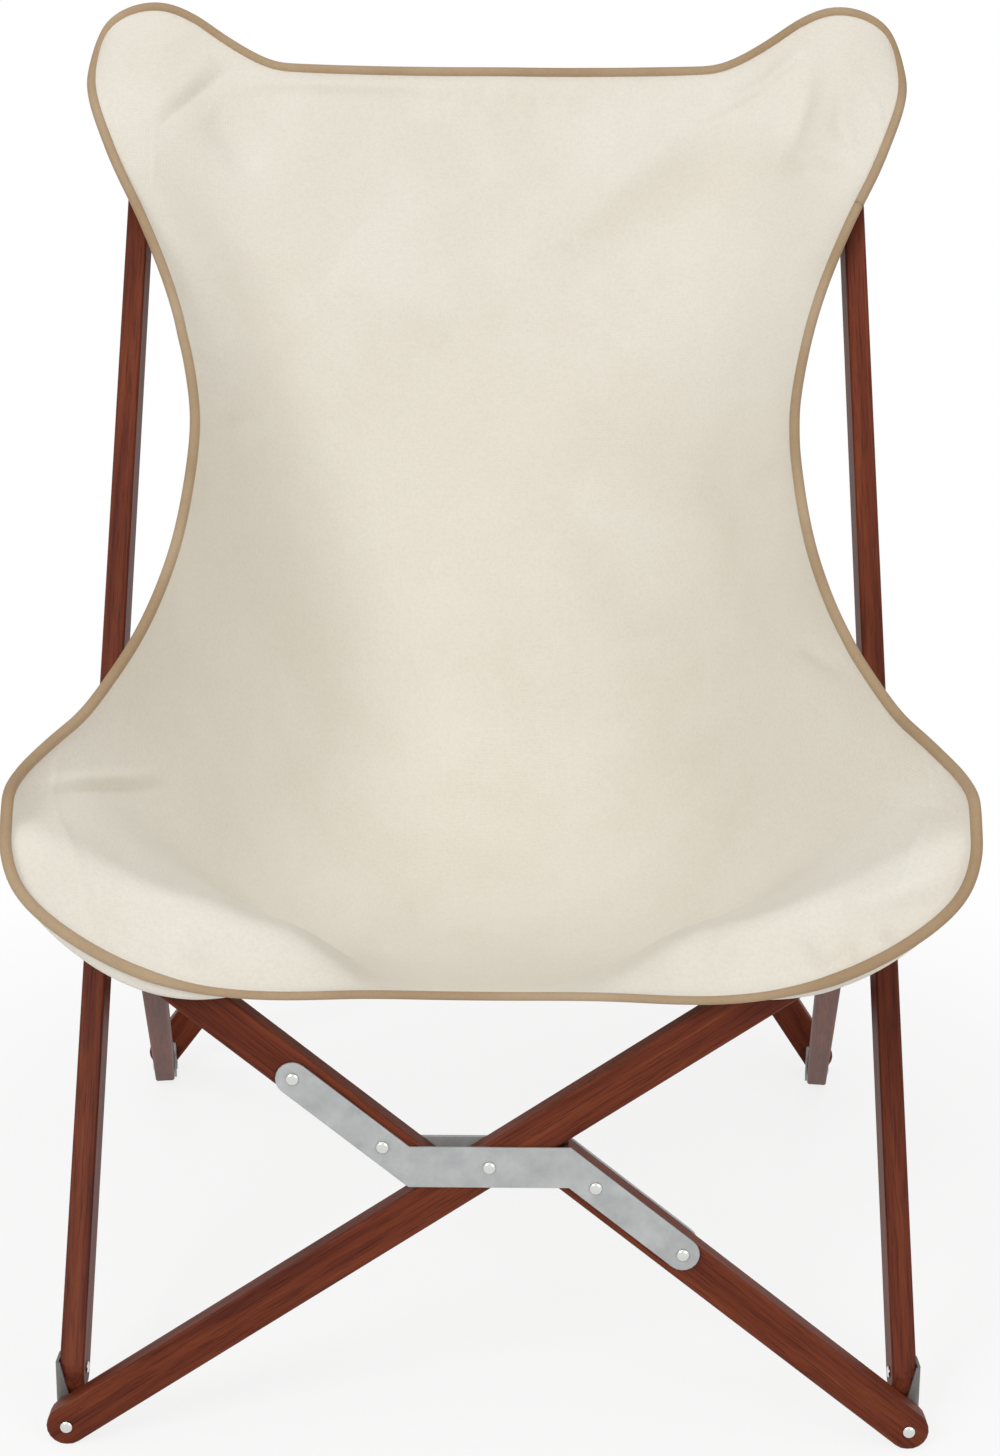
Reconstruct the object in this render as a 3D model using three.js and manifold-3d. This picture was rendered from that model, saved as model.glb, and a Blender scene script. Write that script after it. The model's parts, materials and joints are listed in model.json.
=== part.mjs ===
import * as THREE from 'three';
import { mergeVertices } from 'three/addons/utils/BufferGeometryUtils.js';
import Module from 'manifold-3d';

const wasm = await Module();
wasm.setup();

// Wooden laths, millimetres
const barWidth = 28;
const barThickness = 17;
const barEdge = 1.3;
const tipRounding = 9;
const runningGap = 0.3;

// Front cross: two laths that lean back a little and cross at a riveted pivot
const frontLean = THREE.MathUtils.degToRad(4.2);
const frontFootHalfSpread = 292;
const frontFootHeight = 13;
const frontPivotHeight = 209;
const seatJointHalfSpread = 231.6;
const seatJointDrop = 4.5;
const seatJointHeight = frontPivotHeight - seatJointDrop
  + seatJointHalfSpread * (frontPivotHeight - frontFootHeight) / frontFootHalfSpread;
const seatTipReach = 78;

// Long posts that carry the ears of the sling
const postHalfSpread = 291;
const postLean = THREE.MathUtils.degToRad(35.15);
const postPivotDepth = 28.2;
const postPivotHeight = 38.4;
const postTipHeight = 926;
const topJointDrop = 111;
const topJointHeight = postTipHeight - topJointDrop;

// Short side laths from the rear feet to the front cross
const rearFootHalfSpread = 300.5;
const sideFootDepth = 564.5;
const sideFootHeight = 13;
const sideTopSetback = 28.1;
const sideTopDepth = seatJointHeight * Math.sin(frontLean) + sideTopSetback;
const sideTopRise = 2.5;
const sideTopHeight = seatJointHeight + sideTopRise;

// Rear cross, behind the posts and the side laths
const rearBaseDepth = 590.5;
const rearLean = THREE.MathUtils.degToRad(1.55);
const rearCrossFootHalfSpread = 303;
const rearCrossFootHeight = 17;
const rearCrossTopHalfSpread = 291.5;

// Scissor plates: the split lath runs beside the through lath, not over it
const splitOffset = barWidth + 3;
const splitEndGap = 3.5;
const plateThickness = 2;
const plateHalfWidth = 11.5;
const plateMiddleHalfWidth = 14.5;
const plateBend = THREE.MathUtils.degToRad(38.9);
const plateRivetNear = 65;
const plateRivetFar = 142;
const plateRivetSide = splitOffset + 3;

// Corner brackets of bent strip
const stripThickness = 2;
const stripHalfWidth = 11;
const bendRadius = 2.5;

// Rivets
const rivetRadius = 2.4;
const rivetHeadRadius = 4.4;
const rivetHeadHeight = 2.3;
const rivetTailRadius = 3.8;
const rivetTailHeight = 1.2;
const rivetSides = 10;

// Canvas sling
const canvasThickness = 1.6;
const canvasClearance = 6;
const postCanvasGap = 4.2;
const canvasLines = 24;
const pipingRadius = 3.2;
const pipingSteps = 204;
const pipingSides = 6;
const pipingMarks = 144;
const pipingCornerEase = 2.2;
const pipingGap = 0.8;
const pocketShareAcross = 0.28;
const pocketShareAlong = 0.12;
const pocketRows = 6;
const pocketLines = 12;
const earPocketSeam = 2.5;
const wingPocketSeam = 6.2;
const wingPocketDepth = 34;
const earPocketDepth = 40;

const wood = { color: 0x6a3a2b, roughness: 0.55, metalness: 0 };
const zinc = { color: 0xb5b8b8, roughness: 0.42, metalness: 0.9 };
const polished = { color: 0xd4d6d8, roughness: 0.2, metalness: 1 };
const canvas = { color: 0xe8e2d2, roughness: 0.95, metalness: 0 };
const tan = { color: 0xb59a76, roughness: 0.9, metalness: 0 };

const group = new THREE.Group();
group.name = 'folding_sling_chair';
const chair = new THREE.Group();
chair.name = 'chair_frame';
group.add(chair);

// In these two groups x runs across, y up the leaning plane and z towards the front
const frontCross = new THREE.Group();
frontCross.name = 'front_cross';
frontCross.rotation.x = Math.PI / 2 - frontLean;
chair.add(frontCross);
const rearCross = new THREE.Group();
rearCross.name = 'rear_cross';
rearCross.rotation.x = Math.PI / 2 - rearLean;
rearCross.position.y = rearBaseDepth;
chair.add(rearCross);

function addMesh(parent, name, geometry, look) {
  const material = new THREE.MeshStandardMaterial(look);
  const mesh = new THREE.Mesh(geometry, material);
  mesh.name = name;
  parent.add(mesh);
  return mesh;
}

function toSolid(geometry) {
  const bare = geometry.clone();
  bare.deleteAttribute('normal');
  bare.deleteAttribute('uv');
  const merged = mergeVertices(bare, 1e-4);
  return new wasm.Manifold(new wasm.Mesh({
    numProp: 3,
    vertProperties: new Float32Array(merged.attributes.position.array),
    triVerts: new Uint32Array(merged.index.array),
  }));
}

function toGeometry(solid) {
  const mesh = solid.getMesh();
  const geometry = new THREE.BufferGeometry();
  geometry.setAttribute('position', new THREE.BufferAttribute(new Float32Array(mesh.vertProperties), 3));
  geometry.setIndex(new THREE.BufferAttribute(new Uint32Array(mesh.triVerts), 1));
  const flat = geometry.toNonIndexed();
  flat.computeVertexNormals();
  return flat;
}

function extrudeLath(shape, thickness, edge) {
  const geometry = new THREE.ExtrudeGeometry(shape, {
    depth: thickness - 2 * edge,
    bevelEnabled: edge > 0,
    bevelThickness: edge,
    bevelSize: edge,
    bevelOffset: -edge,
    bevelSegments: 1,
    curveSegments: 5,
  });
  geometry.translate(0, 0, -(thickness - 2 * edge) / 2);
  return geometry;
}

function addHole(shape, x, y, radius) {
  const hole = new THREE.Path();
  hole.absarc(x, y, radius, 0, 2 * Math.PI, true);
  shape.holes.push(hole);
}

// Draws a lath's end at x, rounded at both corners, or as one half circle where the rounding is half the width
function drawEnd(shape, x, low, high, round, heading) {
  const turn = heading > 0 ? -Math.PI / 2 : Math.PI / 2;
  const inner = x - heading * round;
  if (2 * round >= high - low) {
    shape.absarc(inner, (low + high) / 2, (high - low) / 2, turn, turn + Math.PI, false);
    return;
  }
  const firstY = heading > 0 ? low + round : high - round;
  const secondY = heading > 0 ? high - round : low + round;
  shape.absarc(inner, firstY, round, turn, turn + Math.PI / 2, false);
  shape.absarc(inner, secondY, round, turn + Math.PI / 2, turn + Math.PI, false);
}

// A lath along x from start to end, with rounded ends and rivet holes
function lathShape(start, end, centre, startRound, endRound, holes) {
  const low = centre - barWidth / 2;
  const high = centre + barWidth / 2;
  const shape = new THREE.Shape();
  drawEnd(shape, end, low, high, endRound, 1);
  drawEnd(shape, start, low, high, startRound, -1);
  shape.closePath();
  holes.forEach(([x, y]) => addHole(shape, x, y, rivetRadius + runningGap));
  return shape;
}

// A half of the split lath: its inner end is cut to follow the through lath
function splitShape(crossing, end, endRound, holes) {
  const low = splitOffset - barWidth / 2;
  const high = splitOffset + barWidth / 2;
  const reach = barWidth / 2 + splitEndGap;
  const innerLow = (reach + low * Math.cos(crossing)) / Math.sin(crossing);
  const innerHigh = (reach + high * Math.cos(crossing)) / Math.sin(crossing);
  const shape = new THREE.Shape();
  shape.moveTo(innerLow, low);
  shape.lineTo(end - endRound, low);
  drawEnd(shape, end, low, high, endRound, 1);
  shape.lineTo(innerHigh, high);
  shape.closePath();
  holes.forEach(([x, y]) => addHole(shape, x, y, rivetRadius + runningGap));
  return shape;
}

// The two-armed scissor plate, the same when turned half round its pivot
function platePath(bend) {
  const far = new THREE.Vector2(plateRivetFar, plateRivetSide);
  const near = new THREE.Vector2(plateRivetNear, plateRivetSide);
  const wide = plateMiddleHalfWidth;
  const outer = near.y + plateHalfWidth;
  const inner = near.y - plateHalfWidth;
  // The middle runs through the pivot at the bend angle to the arms; its two edges meet the arms' edges
  const edgeMeet = (level, shift) => (level * Math.cos(bend) - shift) / Math.sin(bend);
  const shape = new THREE.Shape();
  shape.moveTo(edgeMeet(inner, -wide), inner);
  shape.lineTo(far.x, inner);
  shape.absarc(far.x, far.y, plateHalfWidth, -Math.PI / 2, Math.PI / 2, false);
  shape.lineTo(edgeMeet(outer, wide), outer);
  shape.lineTo(-edgeMeet(inner, -wide), -inner);
  shape.lineTo(-far.x, -inner);
  shape.absarc(-far.x, -far.y, plateHalfWidth, Math.PI / 2, 1.5 * Math.PI, false);
  shape.lineTo(-edgeMeet(outer, wide), -outer);
  shape.closePath();
  const holes = [[far.x, far.y], [near.x, near.y], [0, 0], [-near.x, -near.y], [-far.x, -far.y]];
  holes.forEach(([x, y]) => addHole(shape, x, y, rivetRadius + runningGap));
  return { shape, holes };
}

// Domed head at the +y end, flattened tail at the other, with the stack between
// These three pivots close the folding loop, so their rivets stop inside the lath
const stubRivets = ['side_top_rivet_left', 'side_foot_rivet_right', 'top_rivet_right'];

// A rivet's shank, tail and domed head, or a stub that ends inside the lath it is named for
function rivetGeometry(stack, stub) {
  const half = stack / 2 + runningGap / 2;
  const stubEnd = stack / 2 - barThickness + runningGap;
  const low = stub ? [
    new THREE.Vector2(0, stubEnd),
    new THREE.Vector2(rivetRadius, stubEnd),
  ] : [
    new THREE.Vector2(0, -half - rivetTailHeight),
    new THREE.Vector2(rivetTailRadius * 0.8, -half - rivetTailHeight),
    new THREE.Vector2(rivetTailRadius, -half - rivetTailHeight * 0.4),
    new THREE.Vector2(rivetTailRadius, -half),
    new THREE.Vector2(rivetRadius, -half),
  ];
  const points = [
    ...low,
    new THREE.Vector2(rivetRadius, half),
    new THREE.Vector2(rivetHeadRadius, half),
    new THREE.Vector2(rivetHeadRadius * 0.9, half + rivetHeadHeight * 0.5),
    new THREE.Vector2(rivetHeadRadius * 0.55, half + rivetHeadHeight * 0.88),
    new THREE.Vector2(0, half + rivetHeadHeight),
  ];
  return new THREE.LatheGeometry(points, rivetSides);
}

function addRivet(parent, name, place, axis, stack) {
  const mesh = addMesh(parent, name, rivetGeometry(stack, stubRivets.includes(name)), polished);
  mesh.position.copy(place);
  mesh.quaternion.setFromUnitVectors(new THREE.Vector3(0, 1, 0), axis.clone().normalize());
  return mesh;
}

// Takes the part of a foot that would stand below the floor off its lath
function levelFoot(mesh) {
  mesh.updateWorldMatrix(true, false);
  const floor = new THREE.BoxGeometry(2000, 2000, 100);
  floor.translate(0, 300, -50);
  floor.applyMatrix4(mesh.matrixWorld.clone().invert());
  const cut = toSolid(mesh.geometry).subtract(toSolid(floor));
  mesh.geometry = toGeometry(cut);
}

// One crossed pair: a through lath and a split lath held by two plates.
// The split lath's lower half ends at the right foot, its upper half at the left top joint.
function addCross(parent, label, size) {
  const rise = size.pivotHeight - size.footHeight;
  const throughAngle = Math.atan2(rise, size.footHalfSpread);
  const lower = Math.hypot(size.footHalfSpread, rise);
  const splitAngle = throughAngle + Math.asin(splitOffset / lower);
  const crossing = throughAngle + splitAngle;
  const jointRise = size.topHeight - size.pivotHeight;
  const pivot = new THREE.Vector3(0, size.pivotHeight, 0);
  const forward = new THREE.Vector3(0, 0, 1);
  const along = (angle, x, y) => x * Math.cos(angle) + y * Math.sin(angle);
  const beside = (angle, x, y) => -x * Math.sin(angle) + y * Math.cos(angle);
  const throughHole = [
    along(throughAngle, size.topHalfSpread, jointRise),
    beside(throughAngle, size.topHalfSpread, jointRise),
  ];
  const upperAngle = Math.PI - splitAngle;
  const upperHole = [
    along(upperAngle, -size.topHalfSpread, jointRise),
    beside(upperAngle, -size.topHalfSpread, jointRise),
  ];
  const lowerAlong = Math.sqrt(lower * lower - splitOffset * splitOffset);
  const half = barWidth / 2;

  const throughShape = lathShape(-lower - half, throughHole[0] + size.topReach, 0, half,
    size.topRound, [[-lower, 0], [0, 0], throughHole]);
  const through = addMesh(parent, label + '_through_lath', extrudeLath(throughShape, barThickness, barEdge), wood);
  through.position.copy(pivot);
  through.rotation.z = throughAngle;

  const plateHoles = [[plateRivetNear, plateRivetSide], [plateRivetFar, plateRivetSide]];
  const upperShape = splitShape(crossing, upperHole[0] + size.topReach, size.topRound, [...plateHoles, upperHole]);
  const upper = addMesh(parent, label + '_split_lath_upper', extrudeLath(upperShape, barThickness, barEdge), wood);
  upper.position.copy(pivot);
  upper.rotation.z = upperAngle;

  const lowerShape = splitShape(crossing, lowerAlong + half, half, [...plateHoles, [lowerAlong, splitOffset]]);
  const lowerHalf = addMesh(parent, label + '_split_lath_lower', extrudeLath(lowerShape, barThickness, barEdge), wood);
  lowerHalf.position.copy(pivot);
  lowerHalf.rotation.z = -splitAngle;

  const plateSpot = barThickness / 2 + runningGap + plateThickness / 2;
  [['outer', 1], ['inner', -1]].forEach(([name, side]) => {
    const plate = addMesh(parent, label + '_scissor_plate_' + name,
      extrudeLath(platePath(plateBend).shape, plateThickness, 0.3), zinc);
    plate.position.set(0, size.pivotHeight, side * plateSpot);
    plate.rotation.z = upperAngle;
  });

  const plateStack = barThickness + 2 * (plateThickness + runningGap);
  const plateNames = ['upper_far', 'upper_near', 'pivot', 'lower_near', 'lower_far'];
  const turned = new THREE.Euler(0, 0, upperAngle);
  platePath(plateBend).holes.forEach(([x, y], index) => {
    const place = new THREE.Vector3(x, y, 0).applyEuler(turned).add(pivot);
    addRivet(parent, label + '_rivet_' + plateNames[index], place, forward, plateStack);
  });
  return { through, upper, lowerHalf };
}

// A bent corner bracket. Its first leg lies on a cross lath, its second on a side lath.
// Coordinates here: x across, y towards the back, z up.
function bracketGeometry(first, second, secondDirection) {
  const halfStrip = stripThickness / 2;
  const reach = (first.y - second.y) / secondDirection.y;
  const cornerX = second.x + secondDirection.x * reach;
  const corner = new THREE.Vector2(cornerX, first.y);
  const legOne = new THREE.Vector2(Math.sign(first.x - cornerX), 0);
  const legTwo = new THREE.Vector2(secondDirection.x, secondDirection.y);
  const opening = Math.acos(legOne.dot(legTwo));
  const tangent = bendRadius / Math.tan(opening / 2);
  const lengthOne = Math.abs(first.x - cornerX) + stripHalfWidth;
  const lengthTwo = Math.hypot(second.x - cornerX, second.y - first.y) + stripHalfWidth;
  const middle = [corner.clone().addScaledVector(legOne, lengthOne)];
  const startPoint = corner.clone().addScaledVector(legOne, tangent);
  const endPoint = corner.clone().addScaledVector(legTwo, tangent);
  const centreLine = legOne.clone().add(legTwo).normalize();
  const centre = corner.clone().addScaledVector(centreLine, bendRadius / Math.sin(opening / 2));
  const from = startPoint.clone().sub(centre).angle();
  let sweep = endPoint.clone().sub(centre).angle() - from;
  if (sweep > Math.PI) sweep -= 2 * Math.PI;
  if (sweep < -Math.PI) sweep += 2 * Math.PI;
  const bendSteps = 5;
  for (let step = 0; step <= bendSteps; step += 1) {
    const angle = from + sweep * step / bendSteps;
    middle.push(new THREE.Vector2(centre.x + bendRadius * Math.cos(angle), centre.y + bendRadius * Math.sin(angle)));
  }
  middle.push(corner.clone().addScaledVector(legTwo, lengthTwo));
  const sideA = [];
  const sideB = [];
  middle.forEach((point, index) => {
    const before = middle[Math.max(index - 1, 0)];
    const after = middle[Math.min(index + 1, middle.length - 1)];
    const direction = after.clone().sub(before).normalize();
    const normal = new THREE.Vector2(-direction.y, direction.x);
    sideA.push(point.clone().addScaledVector(normal, halfStrip));
    sideB.push(point.clone().addScaledVector(normal, -halfStrip));
  });
  const low = Math.min(first.z, second.z) - stripHalfWidth;
  const high = Math.max(first.z, second.z) + stripHalfWidth;
  const profile = new THREE.Shape([...sideA, ...sideB.reverse()]);
  const strip = new THREE.ExtrudeGeometry(profile, { depth: high - low, bevelEnabled: false });
  strip.translate(0, 0, low);
  let solid = toSolid(strip);

  // The rounded ends: each leg is trimmed to a tongue about its rivet
  const trim = (origin, direction, holeAlong, holeHeight) => {
    const tongue = new THREE.Shape();
    tongue.moveTo(-60, low - 1);
    tongue.lineTo(bendRadius, low - 1);
    tongue.lineTo(bendRadius, low);
    tongue.lineTo(holeAlong, holeHeight - stripHalfWidth);
    tongue.absarc(holeAlong, holeHeight, stripHalfWidth, -Math.PI / 2, Math.PI / 2, false);
    tongue.lineTo(bendRadius, high);
    tongue.lineTo(bendRadius, high + 1);
    tongue.lineTo(-60, high + 1);
    tongue.closePath();
    addHole(tongue, holeAlong, holeHeight, rivetRadius + runningGap);
    const block = new THREE.ExtrudeGeometry(tongue, { depth: 160, bevelEnabled: false, curveSegments: 8 });
    block.translate(0, 0, -80);
    const across = new THREE.Vector3(direction.x, direction.y, 0);
    const up = new THREE.Vector3(0, 0, 1);
    const basis = new THREE.Matrix4().makeBasis(across, up, across.clone().cross(up));
    basis.setPosition(origin.x, origin.y, 0);
    block.applyMatrix4(basis);
    solid = solid.intersect(toSolid(block));
  };
  trim(corner, legOne, Math.abs(first.x - cornerX), first.z);
  trim(corner, legTwo, Math.hypot(second.x - cornerX, second.y - first.y), second.z);
  return toGeometry(solid);
}

// Front cross
addCross(frontCross, 'front', {
  pivotHeight: frontPivotHeight,
  footHeight: frontFootHeight,
  footHalfSpread: frontFootHalfSpread,
  topHalfSpread: seatJointHalfSpread,
  topHeight: seatJointHeight,
  topReach: seatTipReach,
  topRound: tipRounding,
});

// Rear cross, its pivot where the through lath passes the middle
const rearCrossTopHeight = topJointHeight;
const rearSlope = (rearCrossTopHeight - rearCrossFootHeight) / (rearCrossFootHalfSpread + rearCrossTopHalfSpread);
const rearPivotHeight = rearCrossFootHeight + rearCrossFootHalfSpread * rearSlope;
addCross(rearCross, 'rear', {
  pivotHeight: rearPivotHeight,
  footHeight: rearCrossFootHeight,
  footHalfSpread: rearCrossFootHalfSpread,
  topHalfSpread: rearCrossTopHalfSpread,
  topHeight: rearCrossTopHeight,
  topReach: barWidth / 2,
  topRound: barWidth / 2,
});

// Long posts
const postAlong = new THREE.Vector3(0, Math.sin(postLean), Math.cos(postLean));
const postFront = new THREE.Vector3(0, -Math.cos(postLean), Math.sin(postLean));
const acrossAxis = new THREE.Vector3(1, 0, 0);
const postLength = (postTipHeight - postPivotHeight) / Math.cos(postLean);
const topJointAlong = (topJointHeight - postPivotHeight) / Math.cos(postLean);
const postBase = (side) => new THREE.Vector3(side * postHalfSpread, postPivotDepth, postPivotHeight);

// Short side laths, each in its own upright plane that toes in towards the front
function sideLine(side) {
  const foot = new THREE.Vector3(side * rearFootHalfSpread, sideFootDepth, sideFootHeight);
  const top = new THREE.Vector3(side * seatJointHalfSpread, sideTopDepth, sideTopHeight);
  const direction = top.clone().sub(foot).normalize();
  const level = new THREE.Vector3(direction.x, direction.y, 0).normalize();
  const across = new THREE.Vector3(-level.y, level.x, 0);
  return { foot, top, direction, level, across, length: top.distanceTo(foot) };
}

const sideNames = [['left', -1], ['right', 1]];
const legOneSpot = barThickness / 2 + runningGap + stripThickness / 2;
const legTwoSpot = barThickness / 2 + runningGap + stripThickness / 2;
const bracketStack = barThickness + stripThickness + runningGap;
const stackShift = (stripThickness + runningGap) / 2;

sideNames.forEach(([word, side]) => {
  const half = barWidth / 2;
  const postShape = lathShape(-half, postLength, 0, half, tipRounding, [[0, 0], [topJointAlong, 0]]);
  const post = addMesh(chair, 'post_' + word, extrudeLath(postShape, barThickness, barEdge), wood);
  post.position.copy(postBase(side));
  post.quaternion.setFromRotationMatrix(new THREE.Matrix4().makeBasis(postAlong, postFront, acrossAxis));

  const line = sideLine(side);
  const railShape = lathShape(-half, line.length + half, 0, half, half, [[0, 0], [line.length, 0]]);
  const rail = addMesh(chair, 'side_lath_' + word, extrudeLath(railShape, barThickness, barEdge), wood);
  rail.position.copy(line.foot);
  const railUp = line.across.clone().cross(line.direction);
  rail.quaternion.setFromRotationMatrix(new THREE.Matrix4().makeBasis(line.direction, railUp, line.across));
});

// Turns a point of the chair into the across, back, up coordinates of a leaning cross
function inCross(cross, point) {
  cross.updateMatrix();
  const local = point.clone().applyMatrix4(cross.matrix.clone().invert());
  return new THREE.Vector3(local.x, -local.z, local.y);
}

// A bracket between a cross lath's rivet and a side piece's rivet.
// outward is the way from the side piece to the leg that lies on it.
function addBracket(cross, name, crossHole, backward, sidePoint, outward, legHeading, rivetNames) {
  const legPlace = sidePoint.clone().addScaledVector(outward, legTwoSpot);
  const first = { x: crossHole.x, y: backward * legOneSpot, z: crossHole.y };
  const second = inCross(cross, legPlace);
  const heading = inCross(cross, legPlace.clone().add(legHeading)).sub(second);
  const direction = new THREE.Vector2(heading.x, heading.y).normalize();
  const bracket = addMesh(cross, name, bracketGeometry(first, second, direction), zinc);
  bracket.rotation.x = -Math.PI / 2;
  const crossSpot = new THREE.Vector3(crossHole.x, crossHole.y, -backward * stackShift);
  addRivet(cross, rivetNames[0], crossSpot, new THREE.Vector3(0, 0, backward), bracketStack);
  const sideSpot = sidePoint.clone().addScaledVector(outward, stackShift);
  return addRivet(chair, rivetNames[1], sideSpot, outward.clone().multiplyScalar(rivetNames[2]), bracketStack);
}

sideNames.forEach(([word, side]) => {
  const outside = new THREE.Vector3(side, 0, 0);
  const inside = new THREE.Vector3(-side, 0, 0);
  const back = new THREE.Vector3(0, 1, 0);
  const ahead = new THREE.Vector3(0, -1, 0);
  const line = sideLine(side);
  const railInside = line.across.clone().multiplyScalar(-side * Math.sign(line.across.x));

  addBracket(frontCross, 'front_foot_bracket_' + word,
    new THREE.Vector2(side * frontFootHalfSpread, frontFootHeight), 1, postBase(side), outside, back,
    ['front_foot_rivet_' + word, 'post_foot_rivet_' + word, 1]);

  addBracket(frontCross, 'seat_bracket_' + word,
    new THREE.Vector2(side * seatJointHalfSpread, seatJointHeight), 1, line.top, railInside,
    line.level.clone().negate(), ['seat_rivet_' + word, 'side_top_rivet_' + word, -1]);

  addBracket(rearCross, 'rear_foot_bracket_' + word,
    new THREE.Vector2(side * rearCrossFootHalfSpread, rearCrossFootHeight), -1, line.foot, railInside,
    line.level, ['rear_foot_rivet_' + word, 'side_foot_rivet_' + word, -1]);

  const topPoint = postBase(side).addScaledVector(postAlong, topJointAlong);
  addBracket(rearCross, 'top_bracket_' + word,
    new THREE.Vector2(side * rearCrossTopHalfSpread, rearCrossTopHeight), -1, topPoint, inside, ahead,
    ['top_rivet_' + word, 'post_top_rivet_' + word, -1]);
});

// The four lowest lath ends stand flat on the floor
const standing = ['front_through_lath', 'front_split_lath_lower', 'side_lath_left', 'side_lath_right'];
standing.forEach((name) => levelFoot(group.getObjectByName(name)));

// Canvas sling. Edge and middle lines of its left half, corner to corner, as it hangs in the frame:
// shares of the lath tips' half spread, of the posts' tip depth, and of the rise from the seat joints to those tips.
const postTipDepth = postPivotDepth + (postTipHeight - postPivotHeight) * Math.tan(postLean);
const slingRise = postTipHeight - seatJointHeight;
const wingInset = 3.3;
const seatLathReach = Math.hypot(seatJointHalfSpread, seatJointHeight - frontPivotHeight) + seatTipReach;
const wingHalfSpread = seatLathReach * frontFootHalfSpread / Math.hypot(frontFootHalfSpread,
  frontPivotHeight - frontFootHeight) - wingInset;
const sideEdge = line3([
  [-1.11, 0.0367, 0.1361], [-1.0893, 0.1041, 0.1573], [-1.0206, 0.1684, 0.1891], [-0.9347, 0.245, 0.235],
  [-0.8625, 0.3246, 0.288], [-0.8076, 0.421, 0.3622], [-0.7869, 0.5205, 0.4453], [-0.7904, 0.5894, 0.5089],
  [-0.8282, 0.6614, 0.5848], [-0.8866, 0.7318, 0.6608], [-0.9759, 0.8022, 0.7527], [-1.079, 0.8727, 0.8481],
  [-1.1512, 0.9278, 0.9293], [-1.1409, 0.9798, 1.0071],
]);
const frontEdge = line3([
  [-1.11, 0.0367, 0.1361], [-1.0928, 0.0199, 0.0955], [-1.0241, 0.0138, 0.0513], [-0.9107, 0.0107, 0.0018],
  [-0.7938, 0.0092, -0.0264], [-0.6117, 0.0077, -0.0406], [-0.2749, 0.0046, -0.0423], [0, 0.0031, -0.0423],
]);
const topEdge = line3([
  [-1.1409, 0.9798, 1.0071], [-1.079, 0.9982, 1.0318], [-0.9931, 1.0059, 1.0406], [-0.8866, 1.0028, 1.0212],
  [-0.7629, 0.9982, 0.9859], [-0.6117, 1.0028, 0.9541], [-0.3093, 1.0166, 0.9417], [0, 1.0212, 0.9382],
]);
const middleLine = line3([
  [0, 0.0031, -0.0423], [0, 0.0919, -0.083], [0, 0.2296, -0.136], [0, 0.3674, -0.1642],
  [0, 0.4899, -0.1554], [0, 0.5971, -0.1006], [0, 0.6813, -0.007], [0, 0.7502, 0.1237],
  [0, 0.8175, 0.2916], [0, 0.891, 0.5159], [0, 0.9615, 0.7491], [0, 1.0212, 0.9382],
]);
const seatHollow = 2.2;
const hemDrop = 0.008;
const foldDepth = 1.5;
const foldCount = 3;
const armCoverStart = 110;
const armCoverFade = 50;
const armCoverDepth = 45;
const armCoverLift = 13;
const armCoverSlope = 0.5;
const postCoverStart = 640;
const postCoverSlope = 0.7;

function line3(points) {
  const places = points.map(([x, y, z]) => {
    const spread = THREE.MathUtils.lerp(wingHalfSpread, postHalfSpread, THREE.MathUtils.clamp(z, 0, 1));
    return new THREE.Vector3(x * spread, y * postTipDepth, seatJointHeight + z * slingRise);
  });
  return new THREE.CatmullRomCurve3(places, false, 'centripetal');
}

// Lifts a point of the canvas along up until it stands at least the given height over the origin
function liftTo(point, origin, up, height) {
  const need = height - point.clone().sub(origin).dot(up);
  if (need > 0) point.addScaledVector(up, need);
}

const frontUp = new THREE.Vector3(0, Math.sin(frontLean), Math.cos(frontLean));
const frontAhead = new THREE.Vector3(0, -Math.cos(frontLean), Math.sin(frontLean));
const frontRise = frontPivotHeight - frontFootHeight;
const frontLower = Math.hypot(frontFootHalfSpread, frontRise);
const frontAngle = Math.atan2(frontRise, frontFootHalfSpread);

// The upper end of a front lath, left or right, as its own axes
function seatArm(side) {
  const angle = side < 0 ? frontAngle + Math.asin(splitOffset / frontLower) : frontAngle;
  const shift = side < 0 ? -splitOffset : 0;
  const along = new THREE.Vector3(side * Math.cos(angle), 0, 0).addScaledVector(frontUp, Math.sin(angle));
  const up = new THREE.Vector3(-side * Math.sin(angle), 0, 0).addScaledVector(frontUp, Math.cos(angle));
  const origin = frontUp.clone().multiplyScalar(frontPivotHeight).addScaledVector(up, shift);
  return { along, up, origin, reach: seatLathReach };
}

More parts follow.
